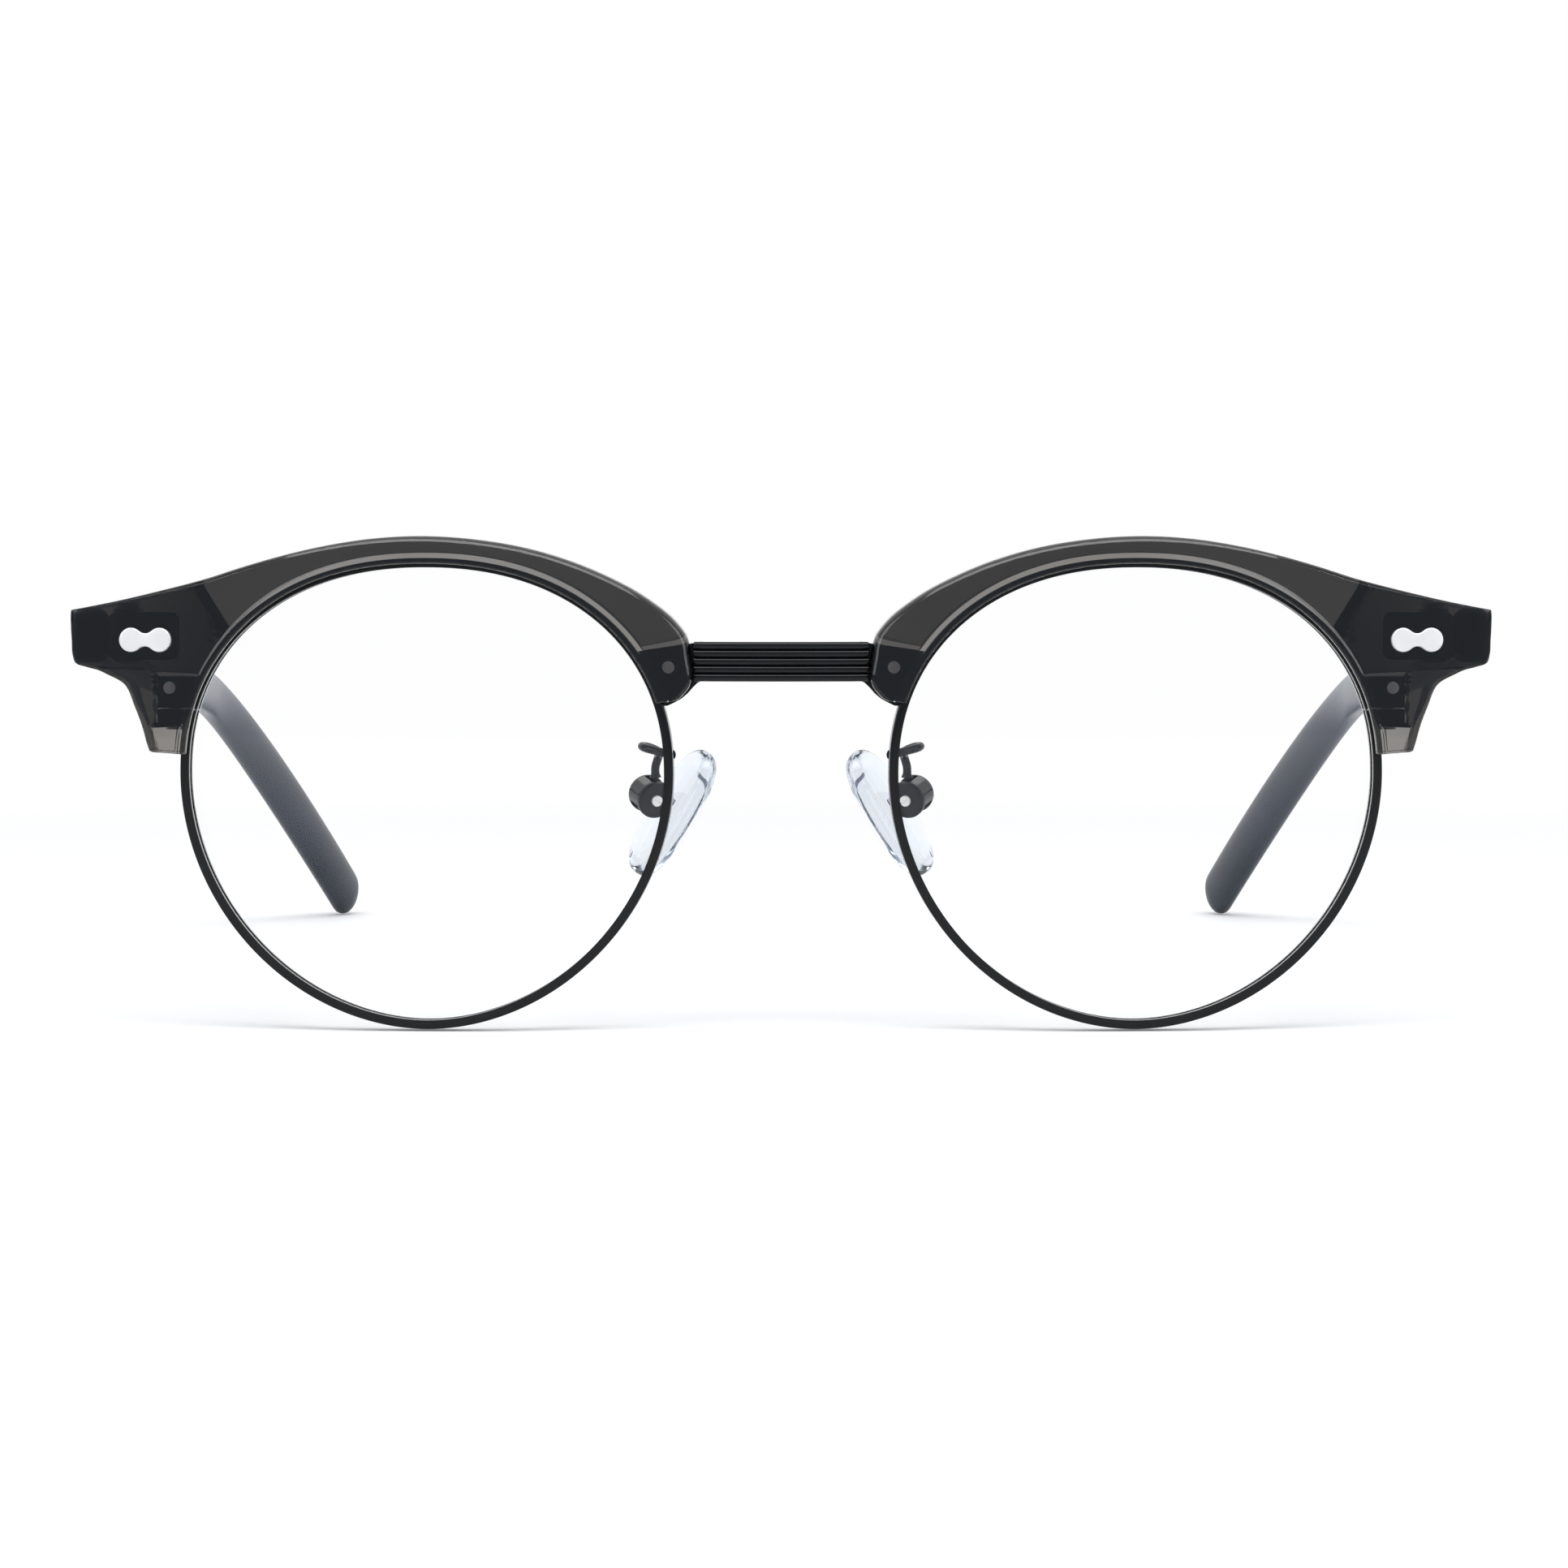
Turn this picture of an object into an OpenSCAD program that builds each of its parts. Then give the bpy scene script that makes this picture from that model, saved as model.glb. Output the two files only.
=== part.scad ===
// Browline eyeglasses. Millimetres, the front faces -Y, +Z is up.
// The glasses stand open on the rim bottoms and the temple tips.
// Each sub-part is drawn for the wearer's left side (+X), and mirrored for the right.

/* [Lens] */
// Lens width, edge to edge
lens_w = 48; // [46:0.5:51]
// Lens height, edge to edge
lens_h = 45.7; // [43:0.1:48]
// Distance between the two lenses
bridge_gap = 22.2; // [20:0.2:24]
// How far the widest line of the lens lies above its mid height
lens_rise = 2; // [0:0.1:4]
// Squareness of the upper half, where 2 is an ellipse
full_top = 2.2; // [2:0.05:2.5]
// Squareness of the lower half
full_low = 1.94; // [1.8:0.02:2.3]
// Lens thickness
lens_t = 2; // [1.6:0.1:2.4]
// Radius of the lens curve
lens_r = 220; // [180:10:400]
// Angle that each lens turns back from the front plane
wrap = 2.5; // [0:0.5:4]

/* [Eyewire] */
// Wall of the eyewire, seen from the front
wire_t = 0.9; // [0.8:0.05:1.2]
// Depth of the eyewire, front to back
wire_d = 2.2; // [1.8:0.1:2.6]
// Depth of the groove that holds the lens
groove_d = 0.44; // [0.3:0.02:0.5]
// Width of the groove
groove_w = 0.9; // [0.7:0.05:1.1]
// Slit where the eyewire opens for the lens
split = 0.15; // [0.1:0.05:0.4]

/* [Brow] */
// Thickness of the brow in front of the eyewire
lip_t = 1.45; // [1.1:0.05:1.8]
// How much of the eyewire shows inside the brow
wire_show = 0.38; // [0.2:0.02:0.5]
// Gap between the eyewire and the roof of its rebate
rebate_gap = 0.5; // [0.3:0.05:0.7]
// Height of the brow over the top of the lens opening
brow_h = 3.1; // [2.6:0.1:4]
// Width of the bevel round the front edge
bevel = 0.55; // [0.3:0.05:0.7]

/* [End piece] */
// Reach of the end piece beyond the lens opening
end_reach = 11.8; // [10.5:0.1:13]
// Height of the end piece above the hinge line
end_rise = 2.9; // [2.6:0.1:3.4]
// Height of the end piece below the hinge line, at its outer side
end_drop = 2.5; // [2.3:0.1:3]
// Thickness of the end piece at its outer side
end_t = 3.5; // [3.2:0.1:4.5]
// How far the tail reaches below the hinge line
tail_drop = 11.3; // [10.5:0.1:12]
// Width of the tail beyond the lens opening, at its lower end
tail_w = 3.75; // [3.4:0.05:4.1]
// Height of the hinge line above the widest line of the lens
hinge_up = 13.5; // [12.5:0.1:14.5]

/* [Rivet plaque] */
// Radius of each round end
plaque_r = 1.2; // [1:0.05:1.4]
// Distance between the two round ends
plaque_gap = 2.9; // [2.7:0.1:3.4]
// Half height of the waist
plaque_waist = 0.65; // [0.5:0.05:0.8]
// How far the plaque stands proud
plaque_proud = 0.3; // [0.1:0.05:0.5]
// Radius of a rivet
rivet_r = 0.6; // [0.5:0.05:0.7]

/* [Bridge] */
// Height of the bridge bar
bridge_h = 3.9; // [3.5:0.1:4.5]
// Thickness of the bridge bar
bridge_t = 2.1; // [1.8:0.1:2.6]
// Number of ridges along its front
ridges = 5; // [3:1:7]
// Radius of the arc that the bar follows, seen from above
bridge_r = 40; // [30:1:60]
// Depth of the bar's middle below the upper corner of the brow's nasal lobe
bridge_down = 2.3; // [1.9:0.05:2.7]
// Thickness of the plates that join the bar to the rims
plate_t = 1.1; // [0.9:0.1:1.3]

/* [Closing block] */
// Width of the closing block beyond the eyewire
block_w = 3.2; // [3:0.1:3.5]
// Height of the slit above the widest line of the lens
split_up = 6.4; // [6:0.1:6.8]
// Height of the upper half block
upper_h = 3.1; // [2.9:0.1:3.2]
// Height of the lower half block
lower_h = 1.5; // [1.2:0.1:2]
// Depth of the closing block behind the lens curve
block_d = 2.9; // [2.6:0.1:3]

/* [Hinge] */
// Outer radius of the hinge barrel
barrel_r = 1.5; // [1.3:0.1:1.7]
// Height of the hinge barrel
barrel_h = 5.2; // [4.5:0.1:5.5]
// Number of knuckles, front and temple together
knuckles = 5; // [3:2:7]
// Width of the front leaf
front_leaf_w = 7.1; // [6.8:0.1:8]
// Height of the front leaf
front_leaf_h = 4.7; // [4.2:0.1:5]
// Length of the temple leaf
temple_leaf_l = 13; // [10:0.5:18]
// Height of the temple leaf
temple_leaf_h = 4; // [3.6:0.1:4.4]
// Thickness of both leaves
leaf_t = 1; // [0.8:0.05:1.2]

/* [Temple] */
// Thickness of the temple at the hinge
temple_t = 4; // [3.8:0.1:4.5]
// Height of the temple at the hinge
temple_h = 5.3; // [5:0.1:6]
// Thickness of the temple in its middle and at the tip
temple_thin = 3.5; // [3:0.1:3.8]
// Height of the temple over the ear
ear_h = 7; // [6:0.1:8]
// Length from the hinge end to the ear bend
straight_l = 92; // [80:1:105]
// Length from the ear bend to the tip, measured straight back
ear_l = 45; // [38:1:50]
// Drop of the straight part, from the hinge to the ear bend
straight_drop = 9.3; // [6:0.1:11]
// How far the temple bows outward at the ear bend
bow = 1.4; // [0:0.1:3]
// How far the tip turns inward from the ear bend
tip_in = 12.6; // [8:0.2:14]
// Radius of the core wire
core_r = 0.65; // [0.5:0.05:0.8]

/* [Nose pads] */
// Length of a nose pad
pad_l = 14.2; // [11:0.2:15]
// Width of a nose pad
pad_w = 7.6; // [6.6:0.2:8.6]
// Thickness of a nose pad
pad_t = 2.6; // [2:0.1:3]
// Tilt of a pad in the front view
pad_tilt = 31; // [25:1:36]
// Turn of a pad about its length
pad_splay = 28; // [15:1:35]
// Distance of a pad's screw from the middle plane
pad_x = 13.1; // [12:0.1:14]
// Depth of a pad's screw behind the lens plane
pad_y = 8; // [7:0.1:9.5]
// Depth of a pad's screw below the widest line of the lens
pad_down = 2.6; // [2:0.1:5]
// Radius of the pad arm wire
arm_r = 0.43; // [0.4:0.01:0.55]

/* [Fasteners] */
// Radius of the hinge screws
hinge_screw_r = 0.7; // [0.6:0.05:0.8]
// Radius of the closing screws and the brow screws
screw_r = 0.6; // [0.5:0.05:0.6]
// Radius of the pad screws
pad_screw_r = 0.4; // [0.35:0.05:0.5]
// Height of the screw heads
head_h = 0.5; // [0.4:0.05:0.6]

/* [Hidden] */

// Clearances: pieces that seat, screws in clear holes, pieces that turn, the temple's butt
fit = 0.03;
bore_play = 0.05;
swing_gap = 0.2;
butt_gap = 0.15;

// Facets of round features, of the lens curve, and steps round the lens outline
$fn = 48;
curve_fn = 240;
outline_steps = 96;

// The lens opening, from its widest line
open_half = lens_w / 2 - groove_d;
open_up = lens_h / 2 - lens_rise - groove_d;
open_down = lens_h / 2 + lens_rise - groove_d;
eye_x = (bridge_gap + lens_w) / 2;
eye_z = wire_t + open_down;

// Depths in a lens frame, from the middle of the lens
wire_back = wire_d / 2;
seat_y = -wire_back - fit;
front_y = seat_y - lip_t;
plate_y = 0.03;

function unit(v) = v / norm(v);
function flat(list) = [for (part = list) for (p = part) p];
function turn(p, a) = [p.x * cos(a) - p.y * sin(a), p.x * sin(a) + p.y * cos(a)];
function bend(a, b, c, d, t) =
  pow(1 - t, 3) * a + 3 * t * pow(1 - t, 2) * b + 3 * t * t * (1 - t) * c + pow(t, 3) * d;

// Lens outline at an angle from its widest line, 0 towards the temple and 90 up,
// moved outward by d along its own normal
function edge(a, d = 0) =
  let (n = sin(a) > 0 ? full_top : full_low,
       h = sin(a) > 0 ? open_up : open_down,
       c = cos(a),
       s = sin(a),
       r = pow(pow(abs(c) / open_half, n) + pow(abs(s) / h, n), -1 / n),
       nx = sign(c) * pow(r * abs(c) / open_half, n - 1) / open_half,
       nz = sign(s) * pow(r * abs(s) / h, n - 1) / h)
  r * [c, s] + d * unit([nx, nz]);
function outline(d) = [for (i = [0:outline_steps - 1]) edge(360 * i / outline_steps, d)];

// Depth of the lens curve at a point of the lens frame
function sag(p) = lens_r - sqrt(lens_r * lens_r - p.x * p.x - p.y * p.y);
// A point of the left lens frame, at depth v, in the frame of the glasses
function seat(p, v) = [
  eye_x + p.x * cos(wrap) - v * sin(wrap),
  p.x * sin(wrap) + v * cos(wrap),
  eye_z + p.y
];
// Depth in the lens frame of a plane y = const of the glasses, at a point p
function frame_depth(p, y) = (y - p.x * sin(wrap)) / cos(wrap);

// End piece, hinge and temple places in the frame of the glasses
end_x = seat([open_half + end_reach, hinge_up], front_y).x - 0.1;
end_point = [open_half + end_reach, hinge_up];
end_back = seat(end_point, sag(end_point) + front_y).y + end_t;
hinge_z = eye_z + hinge_up;
inner_x = end_x - temple_t;
hinge_x = inner_x - barrel_r - swing_gap;
hinge_y = end_back + barrel_r + swing_gap;
butt_y = end_back + butt_gap;
tip_z = 2.95;
leaf_x = hinge_x + barrel_r + 0.4 - front_leaf_w / 2;
plaque_at = [(leaf_x - eye_x) / cos(wrap), hinge_up];

// The upper corner of the brow's nasal lobe: the angle it is tied to, its own angle and height.
// The bridge is placed from it
lobe_corner = [149.7, 153.4, 5.8];
bridge_corner = edge(lobe_corner[1], lobe_corner[2]);
bridge_up = bridge_corner.y - bridge_down;
plate_x = bridge_corner.x + 2.33;

// The whole depth is centred on the origin
lobe_point = [-open_half - 5, bridge_up];
whole_front = seat(lobe_point, sag(lobe_point) + front_y).y;
whole_back = butt_y + straight_l + ear_l;
mid_depth = (whole_front + whole_back) / 2;

// Placing a sub-part
module left() translate([0, -mid_depth, 0]) children();
module right() translate([0, -mid_depth, 0]) mirror([1, 0, 0]) children();
module eye() translate([eye_x, 0, eye_z]) rotate([0, 0, wrap]) children();
// A drawing in the front view becomes a prism from depth v0 to depth v1
module prism(v0, v1) translate([0, v1, 0]) rotate([90, 0, 0]) linear_extrude(v1 - v0) children();
// The same, bounded by two surfaces that follow the lens curve
module dished(v0, v1) intersection() {
  translate([0, lens_r, 0]) difference() {
    sphere(lens_r - v0, $fn = curve_fn);
    sphere(lens_r - v1, $fn = curve_fn);
  }
  prism(v0 - 1, v1 + 8) children();
}
// Drawn about the origin, then laid on the plane that touches the lens curve at a point,
// with depth v there
module tangent(p, v) translate([p.x, sag(p) + v, p.y])
  rotate([-asin(p.y / lens_r), 0, asin(p.x / lens_r)]) children();
// A round bar along the depth of the lens frame
module along_y(p, r, v0, v1) translate([p.x, v0, p.y]) rotate([-90, 0, 0]) cylinder(r = r, h = v1 - v0);
module rounded(w, h, r) {
  square([w - 2 * r, h], center = true);
  square([w, h - 2 * r], center = true);
  for (x = [-1, 1], z = [-1, 1]) translate([x * (w / 2 - r), z * (h / 2 - r)]) circle(r);
}

// Skins through rings of points
function tube_faces(rings, m, from = 0) = [
  for (i = [0:rings - 2], j = [0:m - 1])
    let (a = from + i * m, b = a + m, k = (j + 1) % m)
    each [[a + j, b + k, b + j], [a + j, a + k, b + k]]
];
function flipped(faces) = [for (f = faces) [f[0], f[2], f[1]]];
function start_cap(m, from = 0) = [for (j = [1:m - 2]) [from, from + j + 1, from + j]];
module skin(rings) {
  m = len(rings[0]);
  n = len(rings);
  polyhedron(flat(rings), concat(
    tube_faces(n, m),
    start_cap(m),
    flipped(start_cap(m, (n - 1) * m))
  ), convexity = 6);
}
// A skin with a blind channel that opens in its first ring
module hollow_skin(rings, channel) {
  m = len(rings[0]);
  n = len(rings);
  c = n * m;
  mouth = [for (j = [0:m - 1]) let (k = (j + 1) % m) each [[j, c + k, k], [j, c + j, c + k]]];
  polyhedron(concat(flat(rings), flat(channel)), concat(
    tube_faces(n, m),
    flipped(start_cap(m, (n - 1) * m)),
    flipped(tube_faces(len(channel), m, c)),
    start_cap(m, c + (len(channel) - 1) * m),
    mouth
  ), convexity = 6);
}
// A ring of the section (w, h) round a point, square to the direction t
function ring(at, t, w, h, n, steps) =
  let (side = unit(cross(t, [0, 0, 1])),
       up = cross(side, t))
  [for (i = [0:steps - 1])
    let (a = 360 * (i + 0.5) / steps)
    at + side * w / 2 * sign(cos(a)) * pow(abs(cos(a)), 2 / n)
       + up * h / 2 * sign(sin(a)) * pow(abs(sin(a)), 2 / n)];

// Eyewire
module rim() color([0.12, 0.13, 0.14]) eye() difference() {
  dished(-wire_back, wire_back) difference() {
    polygon(outline(wire_t));
    polygon(outline(0));
  }
  dished(-groove_w / 2, groove_w / 2) polygon(outline(groove_d));
  translate([open_half - 3, -wire_d, split_up - split / 2]) cube([6, 3 * wire_d, split]);
}

module lens() color([0.85, 0.92, 0.95, 0.3]) eye() {
  dished(-lens_t / 2, lens_t / 2) polygon(outline(-fit));
  dished(-groove_w / 2 + fit, groove_w / 2 - fit) polygon(outline(groove_d - fit));
}

// Brow: its edge over the lens, by the angle on the eyewire that each point is tied to,
// then the point's own angle and its height over the lens opening
nasal_edge = [
  [162.9, 163.4, 1.6], [162.5, 163.6, 2.35], [161.3, 162.8, 3.25], [160, 161.8, 3.95],
  [158, 160.6, 4.45], [153.5, 156.6, 5.27], lobe_corner, [149.3, 152.9, 5.82],
  [147.2, 149.9, 5.75], [142.3, 143.3, 5.1],
  [132.4, 132.4, brow_h + 0.95], [117.5, 117.5, brow_h + 0.2], [101.7, 101.7, brow_h - 0.05],
  [89.2, 89.2, brow_h], [76.8, 76.8, brow_h + 0.05], [65.1, 65.1, brow_h + 0.3], [54, 54, brow_h + 1]
];
// The edge of the end piece goes on from there: the tie, then the point's place beyond the
// lens opening and above the hinge line
end_edge = [
  [47, 17.9 - open_half, end_rise + 4.1],
  [36.2, 22 - open_half, end_rise + 2.81],
  [35.7, 22.4 - open_half, end_rise + 2.7],
  [35.3, 2.4, end_rise + 1.8],
  [34.6, 7.4, end_rise + 0.65],
  [33.9, end_reach - 1.97, end_rise + 0.17],
  [33.3, end_reach - 0.4, end_rise - 0.03],
  [33, end_reach - 0.05, end_rise - 0.3],
  [31.6, end_reach + 0.04, end_rise - 1.8],
  [29.5, end_reach + 0.04, -0.34],
  [27.2, end_reach - 0.08, 0.8 - end_drop],
  [25.8, end_reach - 0.42, -end_drop],
  [24.6, end_reach - 1.6, -end_drop - 0.45],
  [23.4, end_reach - 2.85, -end_drop - 0.77],
  [22.4, end_reach - 3.7, -end_drop - 1.15],
  [20.5, tail_w + 2.55, 6.65 - tail_drop],
  [17, tail_w + 1.5, 4.45 - tail_drop],
  [11.5, tail_w + 0.75, 2.5 - tail_drop],
  [7.2, tail_w + 0.3, 0.9 - tail_drop],
  [4.7, tail_w, -tail_drop]
];
brow_edge = concat(
  [for (k = nasal_edge) edge(k[1], k[2])],
  [for (k = end_edge) [open_half + k[1], hinge_up + k[2]]]
);
brow_tie = concat([for (k = nasal_edge) k[0]], [for (k = end_edge) k[0]]);
// What lies behind the brow: the bridge plate above one angle, the eyewire from there to a
// second, the hinge leaf to a third, and the closing block below it
BEHIND_PLATE = 0;
BEHIND_WIRE = 1;
BEHIND_HINGE = 2;
plate_angle = 149.5;
hinge_angle = 36;
block_angle = atan((split_up + split / 2 + upper_h) / (open_half + wire_t)) + 2.5;
function behind(a) =
  a > plate_angle || a < block_angle ? BEHIND_PLATE : a > hinge_angle ? BEHIND_WIRE : BEHIND_HINGE;

// A smooth curve through the points, at i whole points and the share t of the next
function through(p, i, t) =
  let (last = len(p) - 1,
       a = p[max(i - 1, 0)],
       b = p[i],
       c = p[min(i + 1, last)],
       d = p[min(i + 2, last)],
       bc = max(norm(c - b), 0.001),
       ab = i > 0 ? norm(b - a) : bc,
       cd = i + 1 < last ? norm(d - c) : bc,
       mb = i > 0 ? ((c - b) / bc * ab + (b - a) / ab * bc) / (ab + bc) : (c - b) / bc,
       mc = i + 1 < last ? ((d - c) / cd * bc + (c - b) / bc * cd) / (bc + cd) : (c - b) / bc)
  b * (1 + 2 * t) * (1 - t) * (1 - t) + c * t * t * (3 - 2 * t)
    + mb * bc * t * (1 - t) * (1 - t) - mc * bc * t * t * (1 - t);

brow_steps = 2;
brow_stations = (len(brow_edge) - 1) * brow_steps;
function station(s) = min(floor(s / brow_steps), len(brow_edge) - 2);
function brow_at(s) = through(brow_edge, station(s), s / brow_steps - station(s));
function tie_at(s) =
  let (i = station(s), t = s / brow_steps - i) brow_tie[i] * (1 - t) + brow_tie[i + 1] * t;
function outward(s) =
  let (d = unit(brow_at(min(s + 0.5, brow_stations)) - brow_at(max(s - 0.5, 0)))) [-d.y, d.x];
// The bevel is full over the lens, and narrower round the end piece and the nasal lobe
end_angle = 34.2;
lobe_angle = 154;
function bevel_at(a) = bevel * (a < end_angle ? 0.45 : a > lobe_angle ? 0.6 : 1);
// Over the hinge the skin runs past the plane of its back, which is cut flat afterwards
back_spare = 0.4;
back_edge_cut = 0.25;
function back_depth(p, kind) =
  kind == BEHIND_PLATE ? sag(p) - fit : kind == BEHIND_WIRE ? sag(p) + wire_back
  : frame_depth(p, end_back + back_spare);
function at_depth(p, v) = [p.x, v, p.y];
// Section of the brow at a station, from the corner of the rebate round the front to the back
function brow_section(s) =
  let (a = tie_at(s),
       kind = behind(a),
       lip = edge(a, wire_show),
       lip_edge = edge(a, wire_show + 0.2),
       roof = edge(a, wire_t + rebate_gap),
       top = brow_at(s),
       n = outward(s),
       spare = kind == BEHIND_HINGE ? back_spare : 0,
       cut = bevel_at(a),
       top_front = top - n * cut,
       top_back = top - n * (back_edge_cut + spare / 2),
       mid_front = (lip_edge + top_front) / 2,
       mid_back = (roof + top_back) / 2)
  [
    at_depth(roof, sag(roof) + seat_y),
    at_depth(lip, sag(lip) + seat_y),
    at_depth(lip, sag(lip) + front_y + 0.2),
    at_depth(lip_edge, sag(lip_edge) + front_y),
    at_depth(mid_front, sag(mid_front) + front_y),
    at_depth(top_front, sag(top_front) + front_y),
    at_depth(top, sag(top) + front_y + cut),
    at_depth(top, back_depth(top, kind) - back_edge_cut - spare),
    at_depth(top_back, back_depth(top_back, kind)),
    at_depth(mid_back, back_depth(mid_back, kind)),
    at_depth(roof, back_depth(roof, kind))
  ];

module brow() color([0.27, 0.26, 0.25]) difference() {
  eye() difference() {
    skin([for (s = [0:brow_stations]) brow_section(s)]);
    plaque_seat(fit);
    for (p = brow_screw_at) along_y(p, screw_r + fit, sag(p) - screw_bite - 0.2, sag(p) + 2);
  }
  translate([eye_x, end_back, hinge_z - 2 * tail_drop])
    cube([open_half + 2 * end_reach, 2, 4 * tail_drop]);
  translate([leaf_x, end_back + 1, hinge_z])
    leaf_plate(front_leaf_w + 2 * fit, front_leaf_h + 2 * fit, leaf_t + fit + 1);
}

// Rivet plaque on the front of the end piece, with the rivets that hold the front leaf
module plaque_shape(grow) {
  waist_r = (plaque_gap * plaque_gap / 4 + plaque_waist * plaque_waist - plaque_r * plaque_r)
    / (2 * (plaque_r - plaque_waist));
  touch = waist_r / (waist_r + plaque_r);
  for (x = [-1, 1]) translate([x * plaque_gap / 2, 0]) circle(plaque_r + grow);
  difference() {
    square([plaque_gap * touch, 2 * (plaque_waist + waist_r) * (1 - touch) + 2 * grow], center = true);
    for (z = [-1, 1]) translate([0, z * (plaque_waist + waist_r)]) circle(waist_r - grow);
  }
}
rivet_at = [for (x = [-1, 1]) plaque_at + [x * plaque_gap / 2, 0]];
module plaque_seat(grow) {
  tangent(plaque_at, front_y) prism(-1, plaque_proud) plaque_shape(grow);
  for (p = rivet_at) along_y(p, rivet_r + grow, sag(p) + front_y, frame_depth(p, end_back) + 1);
}
module plaque() color([0.9, 0.89, 0.88]) eye() {
  tangent(plaque_at, front_y) prism(-plaque_proud, plaque_proud - fit) plaque_shape(0);
  for (p = rivet_at)
    along_y(p, rivet_r, sag(p) + front_y, frame_depth(p, end_back - 0.1));
}

// Bridge: a ridged bar on an arc, and a plate behind each brow
plate_reach = 3.6;
bar_seat = 0.68;
bar_reach = eye_x + plate_x - plate_reach + bar_seat;
bar_front = -1.6;
module bridge_profile() {
  pitch = bridge_h / ridges;
  translate([bridge_r - bridge_t, -bridge_h / 2]) square([bridge_t - 0.3, bridge_h]);
  for (i = [0:ridges - 1])
    translate([bridge_r - pitch * 0.6, -bridge_h / 2 + pitch * (i + 0.5)])
      intersection() {
        circle(pitch * 0.6);
        translate([-pitch, -pitch / 2]) square([2 * pitch, pitch]);
      }
}
module bridge_plate() eye() dished(plate_y, plate_y + plate_t) difference() {
  x0 = plate_x;
  z0 = bridge_up;
  polygon([
    [x0 + 2.9, z0 + 0.95], [x0 - 2.2, z0 + 1.7], [x0 - plate_reach, z0 + bridge_h / 2],
    [x0 - plate_reach, z0 - bridge_h / 2], [x0 - 3.21, z0 - 2.13], [x0 - 2.74, z0 - 2.59],
    [x0 - 2.21, z0 - 3.2], [x0 - 1.6, z0 - 3.71], [x0 - 0.98, z0 - 4.05], [x0 - 0.29, z0 - 4.38],
    [x0 + 2, z0 - 5]
  ]);
  polygon(outline(wire_t));
}
module bridge() color([0.13, 0.14, 0.15]) {
  translate([0, bar_front + bridge_r, eye_z + bridge_up]) intersection() {
    rotate([0, 0, -120]) rotate_extrude(angle = 60, $fn = curve_fn) bridge_profile();
    cube([2 * bar_reach, 4 * bridge_r, 2 * bridge_h], center = true);
  }
  difference() {
    union() {
      bridge_plate();
      mirror([1, 0, 0]) bridge_plate();
    }
    for (m = [0, 1]) mirror([m, 0, 0]) eye() along_y(nasal_screw_at, screw_r + fit, -1, 6);
  }
}

// Closing block: two half blocks on the ends of the eyewire, drawn together by a screw
block_mid = [open_half + wire_t + block_w / 2, split_up];
block_back = sag(block_mid) + block_d;
module block_half(z0, z1) intersection() {
  prism(0, block_back) difference() {
    translate([open_half - 3, z0]) square([3 + wire_t + block_w - 1, z1 - z0]);
    polygon(outline(wire_t));
  }
  // The front face lies on the brow
  tangent(block_mid, plate_y) translate([-10, 0, -10]) cube(20);
}
closing_screw_x = open_half + wire_t + 0.75;
closing_screw_y = sag(block_mid) + block_d / 2;
module upper_block() color([0.2, 0.2, 0.21]) eye() difference() {
  block_half(split_up + split / 2, split_up + split / 2 + upper_h);
  translate([closing_screw_x, closing_screw_y, split_up]) cylinder(r = screw_r + fit, h = split / 2 + 1.05);
  along_y(temple_screw_at, screw_r + fit, -1, 9);
}
module lower_block() color([0.2, 0.2, 0.21]) eye() difference() {
  block_half(split_up - split / 2 - lower_h, split_up - split / 2);
  translate([closing_screw_x, closing_screw_y, 0]) cylinder(r = screw_r + bore_play, h = split_up);
}
module closing_screw() color([0.6, 0.6, 0.62]) eye()
  translate([closing_screw_x, closing_screw_y, split_up - split / 2 - lower_h]) {
    cylinder(r = screw_r, h = lower_h + split + 1);
    translate([0, 0, -head_h]) difference() {
      cylinder(r = screw_r * 1.6, h = head_h);
      translate([-screw_r * 2, -0.12, -0.05]) cube([screw_r * 4, 0.24, 0.25]);
    }
  }

// Brow screws: from behind, through the bridge plate and the upper block
nasal_screw_at = [plate_x - 0.45, bridge_up - 0.55];
temple_screw_at = [open_half + wire_t + 0.85, split_up + split / 2 + upper_h - screw_r - 0.45];
brow_screw_at = [nasal_screw_at, temple_screw_at];
screw_bite = 1.7;
module brow_screw(p, v) {
  along_y(p, screw_r, sag(p) - screw_bite, v + head_h / 4);
  difference() {
    along_y(p, screw_r * 1.6, v, v + head_h);
    translate([p.x, v + head_h, p.y]) cube([screw_r * 4, 0.4, 0.24], center = true);
  }
}
module brow_screws() color([0.6, 0.6, 0.62]) eye() {
  brow_screw(nasal_screw_at, sag(nasal_screw_at) + plate_t + 0.2);
  brow_screw(temple_screw_at, block_back);
}

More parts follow.
